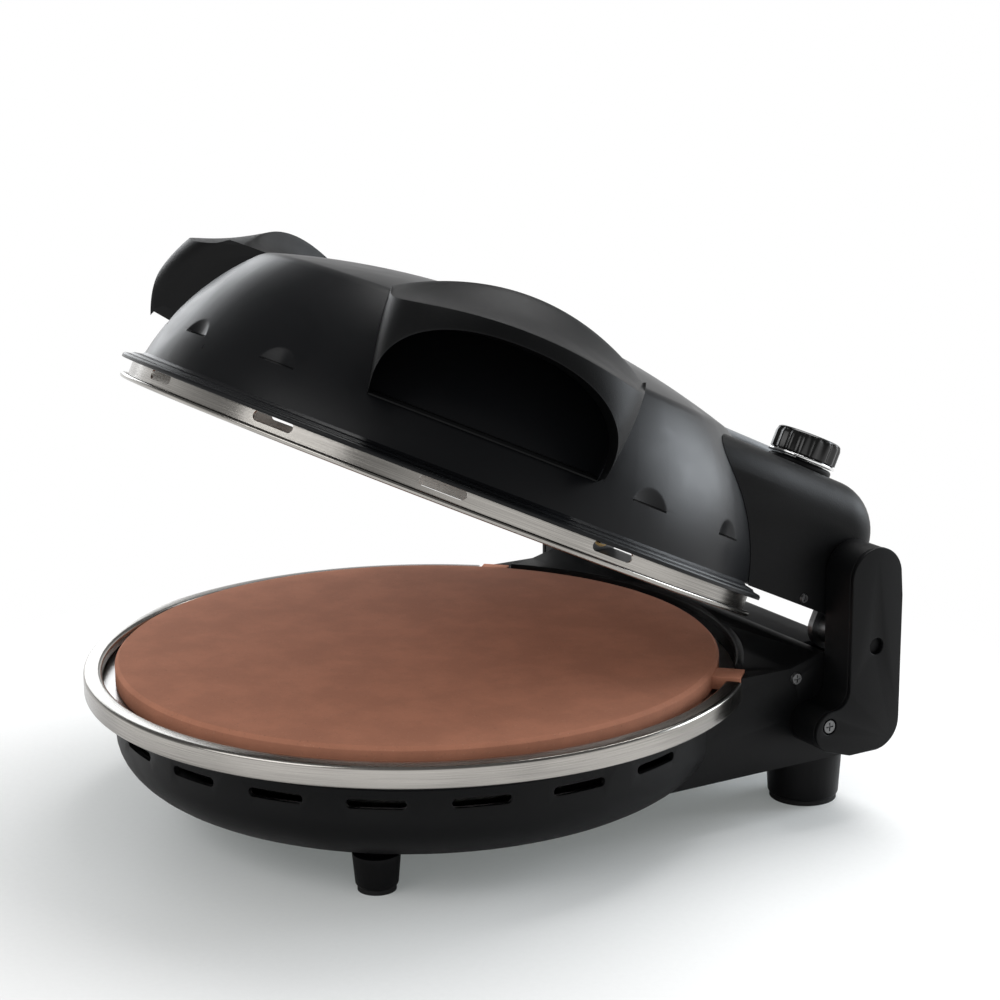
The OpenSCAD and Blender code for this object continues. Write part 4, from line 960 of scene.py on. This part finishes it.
def grip_section(t):
    """One closed outline of a grip in the (radius, height) plane, at t from -1 to 1."""
    rise, swell = arch(t, LIP_ARCH), 1 - t * t
    lip_z = GRIP_Z + (LIP_Z - GRIP_Z) * rise
    lip = Vector((grip_end_r(lip_z) + (SKIRT_R + LIP_OUT - grip_end_r(LIP_Z)) * rise, lip_z))
    shoulder_r = grip_end_r(CREST_END_Z)
    ridge_z = (CREST_END_Z - RIDGE_DROP * arch(t, DROP_ARCH)
               + (RIDGE_Z + RIDGE_DROP - CREST_END_Z) * swell)
    ridge = Vector((shoulder_r + (RIDGE_R - shoulder_r) * arch(t, RIDGE_ARCH), ridge_z))
    crest = Vector((CREST_R, CREST_END_Z + (CREST_Z - CREST_END_Z) * swell))
    foot_z = GRIP_Z + (LIP_Z + HOLLOW_UP - GRIP_Z) * rise
    foot = Vector((dome_r(foot_z) + SEAT, foot_z))
    back = Vector((BACK_FOOT_R, cap_z(BACK_FOOT_R) + SEAT))
    front = []
    for u, p in zip(span(0, 1, 5 * FINE), bowed(ridge, lip, (0, 0), 5 * FINE)):
        chord = grip_end_r(ridge.y) + (grip_end_r(lip.y) - grip_end_r(ridge.y)) * u
        front.append(p + Vector((grip_end_r(p.y) - chord, 0)))
    lip_back = lip + Vector((-LIP_T * 0.6, LIP_T))
    return (bowed(crest, ridge, (0, -DISH * swell), 4 * FINE)[:-1] + front
            + bowed(lip_back, foot, (0, HOLLOW_RISE * swell), 4 * FINE)[:-1]
            + [Vector((dome_r(z) + SEAT, z)) for z in span(foot_z, CREASE_Z - 0.5, 4 * FINE)]
            + [Vector((CREASE_R, CREASE_Z + SEAT))]
            + bowed(back, crest, (DISH * swell, -DISH * swell), 3 * FINE)[:-1])


def across_grip(t, r, z):
    """A point of a grip at its own share t across, from its radius and height."""
    w = t * grip_half_width(z)
    return turned(GRIP_A + math.asin(w / r), r, z)


def grip_shape():
    """The right grip: its outline carried across the dome's side."""
    ts = [math.sin(math.pi / 2 * s) for s in span(-1, 1, 72)]
    return loft([[across_grip(t, *p) for p in grip_section(t)] for t in ts])


def sill_shape():
    """The thin strip that closes the right grip's hollow at its foot."""
    return loft([[across_grip(t, dome_r(GRIP_Z + up) + off, GRIP_Z + up) for off, up in SILL]
                 for t in span(-0.99, 0.99, 60)])


class PIZZAMAKER_OT_grips(bpy.types.Operator):
    """Adds the two hooded grips on the sides of the dome"""

    bl_idname = "pizza_maker.grips"
    bl_label = "Grips"

    def execute(self, context):
        soft = context.scene.pizza_maker_detail.edge_round / MM
        for side, flip in SIDES:
            grip = new_object("grip_hood_" + side, flip(grip_shape()), lid=True)
            soft_edges(grip, soft, segments=2, angle=38)
            dress(grip, "lid", "black_plastic", ["grip_" + side], smooth=40)
            sill = new_object("grip_sill_" + side, flip(sill_shape()), lid=True)
            dress(sill, "lid", "black_plastic")
        return {"FINISHED"}


# ---- Rear housing and controls -----------------------------------------------------------

def inside_end(x, low, high, radius):
    """How far an outline draws in at x, so that the ends at low and high are round."""
    d = max(low + radius - x, x - (high - radius), 0.0)
    return radius - math.sqrt(max(0.0, radius ** 2 - d ** 2))


def end_stations(low, high, radius, round_steps=12, straight_steps=10):
    """Places along X for a body with round ends, close together at its ends."""
    turn = [radius * (1 - math.cos(math.radians(a))) for a in span(0, 90, round_steps)]
    return ([low + d for d in turn] + span(low + radius, high - radius, straight_steps)[1:-1]
            + [high - d for d in reversed(turn)])


class PIZZAMAKER_OT_housing(bpy.types.Operator):
    """Adds the round-ended housing behind the dome"""

    bl_idname = "pizza_maker.housing"
    bl_label = "Rear Housing"

    def execute(self, context):
        soft = context.scene.pizza_maker_detail.edge_round / MM
        rings = []
        for x in end_stations(-HOUSE_X, HOUSE_X, END_ROUND):
            w = inside_end(x, -HOUSE_X, HOUSE_X, END_ROUND)
            top, back = HOUSE_TOP - w, HOUSE_BACK - w
            r = max(HOUSE_ROUND - w, 8)
            front = [(math.sqrt(dome_r(z, SEAT) ** 2 - x * x), z)
                     for z in span(top, HOUSE_LOW, 14)]
            start = front[0][0]
            deck = [(start + (back - r - start) * u, top) for u in (0.5, 0.9)]
            rings.append([(x, y, z) for y, z in
                          front + [(back, HOUSE_LOW)]
                          + [(back, z) for z in span(HOUSE_LOW, top - r, 4)[1:-1]]
                          + arc(back - r, top - r, r, 0, 90, 12) + list(reversed(deck))])
        housing = new_object("housing_shell", loft(rings), lid=True)
        pocket = bar_x(HOUSE_X - HINGE_POCKET_L, HOUSE_X + 1, HINGE_Y, HINGE_Z, HINGE_POCKET_R, 48)
        well = [(PLATE_Y, HOUSE_LOW - 1), (HOUSE_BACK - HOUSE_WALL, HOUSE_LOW - 1),
                (HOUSE_BACK - HOUSE_WALL, HOUSE_LOW + PLATE_T), (PLATE_Y, HOUSE_LOW + PLATE_T)]
        near, far, over = SKIRT_R - NOTCH_IN, SKIRT_R + NOTCH_OUT, SKIRT_Z + SEAT
        notch = [(near, NOTCH_LOW), (far, NOTCH_LOW), (far, over), (near, over)]
        cut_away(housing, [pocket, mirrored(pocket),
                           prism(well, PLATE_INSET - HOUSE_X, HOUSE_X - PLATE_INSET),
                           revolve(notch, -LID_END - NOTCH_PAST, LID_END + NOTCH_PAST, 96)])
        soft_edges(housing, soft, segments=2, angle=45)
        dress(housing, "lid", "black_plastic", ["rear_housing"])
        return {"FINISHED"}


class PIZZAMAKER_OT_controls(bpy.types.Operator):
    """Adds the grey strip, the ribbed knob and its bright foot ring"""

    bl_idname = "pizza_maker.controls"
    bl_label = "Controls"

    def execute(self, context):
        self.panel()
        self.knob(context.scene.pizza_maker_detail.knob_ribs)
        return {"FINISHED"}

    def panel(self):
        rings = []
        top, back = HOUSE_TOP + PANEL_H, PANEL_BACK
        for x in end_stations(PANEL_LEFT, PANEL_RIGHT, PANEL_ROUND, 6, 8):
            w = inside_end(x, PANEL_LEFT, PANEL_RIGHT, PANEL_ROUND)
            edge = max(PANEL_ROUND - w, 0.8)
            front = math.sqrt(dome_r(HOUSE_TOP, SEAT) ** 2 - x * x)
            high = math.sqrt((CREASE_R - 1) ** 2 - x * x)
            rings.append([(x, y, z) for y, z in
                          [(high, top - w), (front, HOUSE_TOP), (back - w, HOUSE_TOP)]
                          + arc(back - w - edge, top - w - edge, edge, 0, 90, 6)])
        panel = new_object("control_strip", loft(rings), lid=True)
        soft_edges(panel, 0.4, segments=2, angle=50)
        dress(panel, "lid", "grey_panel", ["control_panel"])

    def knob(self, ribs):
        foot = HOUSE_TOP + COLLAR_H + KNOB_GAP
        low, high = foot + TRIM_H, foot + TRIM_H + KNOB_H
        outline = ([(0.5, low), (KNOB_R - 1.6, low), (KNOB_R - 1.2, low + 0.6)]
                   + [(KNOB_R - 0.3, low + 1.0), (KNOB_R - 0.3, high - 3.4)]
                   + arc(KNOB_R - 3.1, high - 2.4, 2.4, 10, 90, 6)
                   + [(KNOB_R - 6, high), (KNOB_R - 6.8, high - 0.5), (KNOB_R - 9, high - 0.5),
                      (0.5, high - 0.5)])
        rings = []
        for a in span(0, 2 * math.pi, ribs * 8)[:-1]:
            wave = 0.5 + 0.5 * math.cos(ribs * a)
            ring = []
            for r, z in outline:
                if KNOB_R - 1.4 < r and z < high - 1.2:
                    r -= RIB_DEPTH * (1 - wave)
                ring.append((KNOB_X + r * math.cos(a), KNOB_Y + r * math.sin(a), z))
            rings.append(ring)
        pointer = [(-1.2, high - 0.6), (1.2, high - 0.6), (1.0, high + 0.6), (-1.0, high + 0.6)]
        bar = loft([[(KNOB_X + x, KNOB_Y + y, z) for x, z in pointer]
                    for y in (1.5, KNOB_R - 4.2)])
        knob = new_object("knob_cap", joined(loft(rings, wrap=True), bar), lid=True)
        dress(knob, "knob", "knob_black", ["control_knob"], smooth=38)

        section = rounded([(KNOB_R - TRIM_W, 0), (KNOB_R, 0), (KNOB_R, TRIM_H),
                           (KNOB_R - TRIM_W, TRIM_H)], [0.1, 0.6, 0.6, 0.1], 5)
        verts, faces = revolve(section, columns=96)
        verts = [(x + KNOB_X, y + KNOB_Y, z + foot) for x, y, z in verts]
        ring = new_object("knob_foot_ring", (verts, faces), lid=True)
        dress(ring, "knob", "chrome_trim", ["knob_skirt_ring"])


# ---- Add-on ------------------------------------------------------------------------------

OPERATORS = (
    PIZZAMAKER_OT_stage, PIZZAMAKER_OT_solids, PIZZAMAKER_OT_mouldings, PIZZAMAKER_OT_trim_ring,
    PIZZAMAKER_OT_arms, PIZZAMAKER_OT_dome, PIZZAMAKER_OT_lid_ring, PIZZAMAKER_OT_grips,
    PIZZAMAKER_OT_housing, PIZZAMAKER_OT_controls)


class PIZZAMAKER_PT_pieces(bpy.types.Panel):
    """Lists the settings and the steps that build the finished model"""

    bl_idname = "PIZZAMAKER_PT_pieces"
    bl_label = "Pizza Maker"
    bl_space_type = "VIEW_3D"
    bl_region_type = "UI"
    bl_category = "Pizza Maker"

    def draw(self, context):
        for group in (context.scene.pizza_maker_look, context.scene.pizza_maker_detail):
            box = self.layout.box()
            for name in group.__annotations__:
                box.prop(group, name)
        column = self.layout.column()
        for operator in OPERATORS:
            column.operator(operator.bl_idname)


CLASSES = (PizzaMakerLook, PizzaMakerDetail) + OPERATORS + (PIZZAMAKER_PT_pieces,)


def register():
    for cls in CLASSES:
        bpy.utils.register_class(cls)
    bpy.types.Scene.pizza_maker_look = PointerProperty(type=PizzaMakerLook)
    bpy.types.Scene.pizza_maker_detail = PointerProperty(type=PizzaMakerDetail)


def unregister():
    del bpy.types.Scene.pizza_maker_detail
    del bpy.types.Scene.pizza_maker_look
    for cls in reversed(CLASSES):
        bpy.utils.unregister_class(cls)


def main():
    """Builds every piece in order."""
    register()
    for operator in OPERATORS:
        group, name = operator.bl_idname.split(".")
        getattr(getattr(bpy.ops, group), name)()


if __name__ == "__main__":
    main()
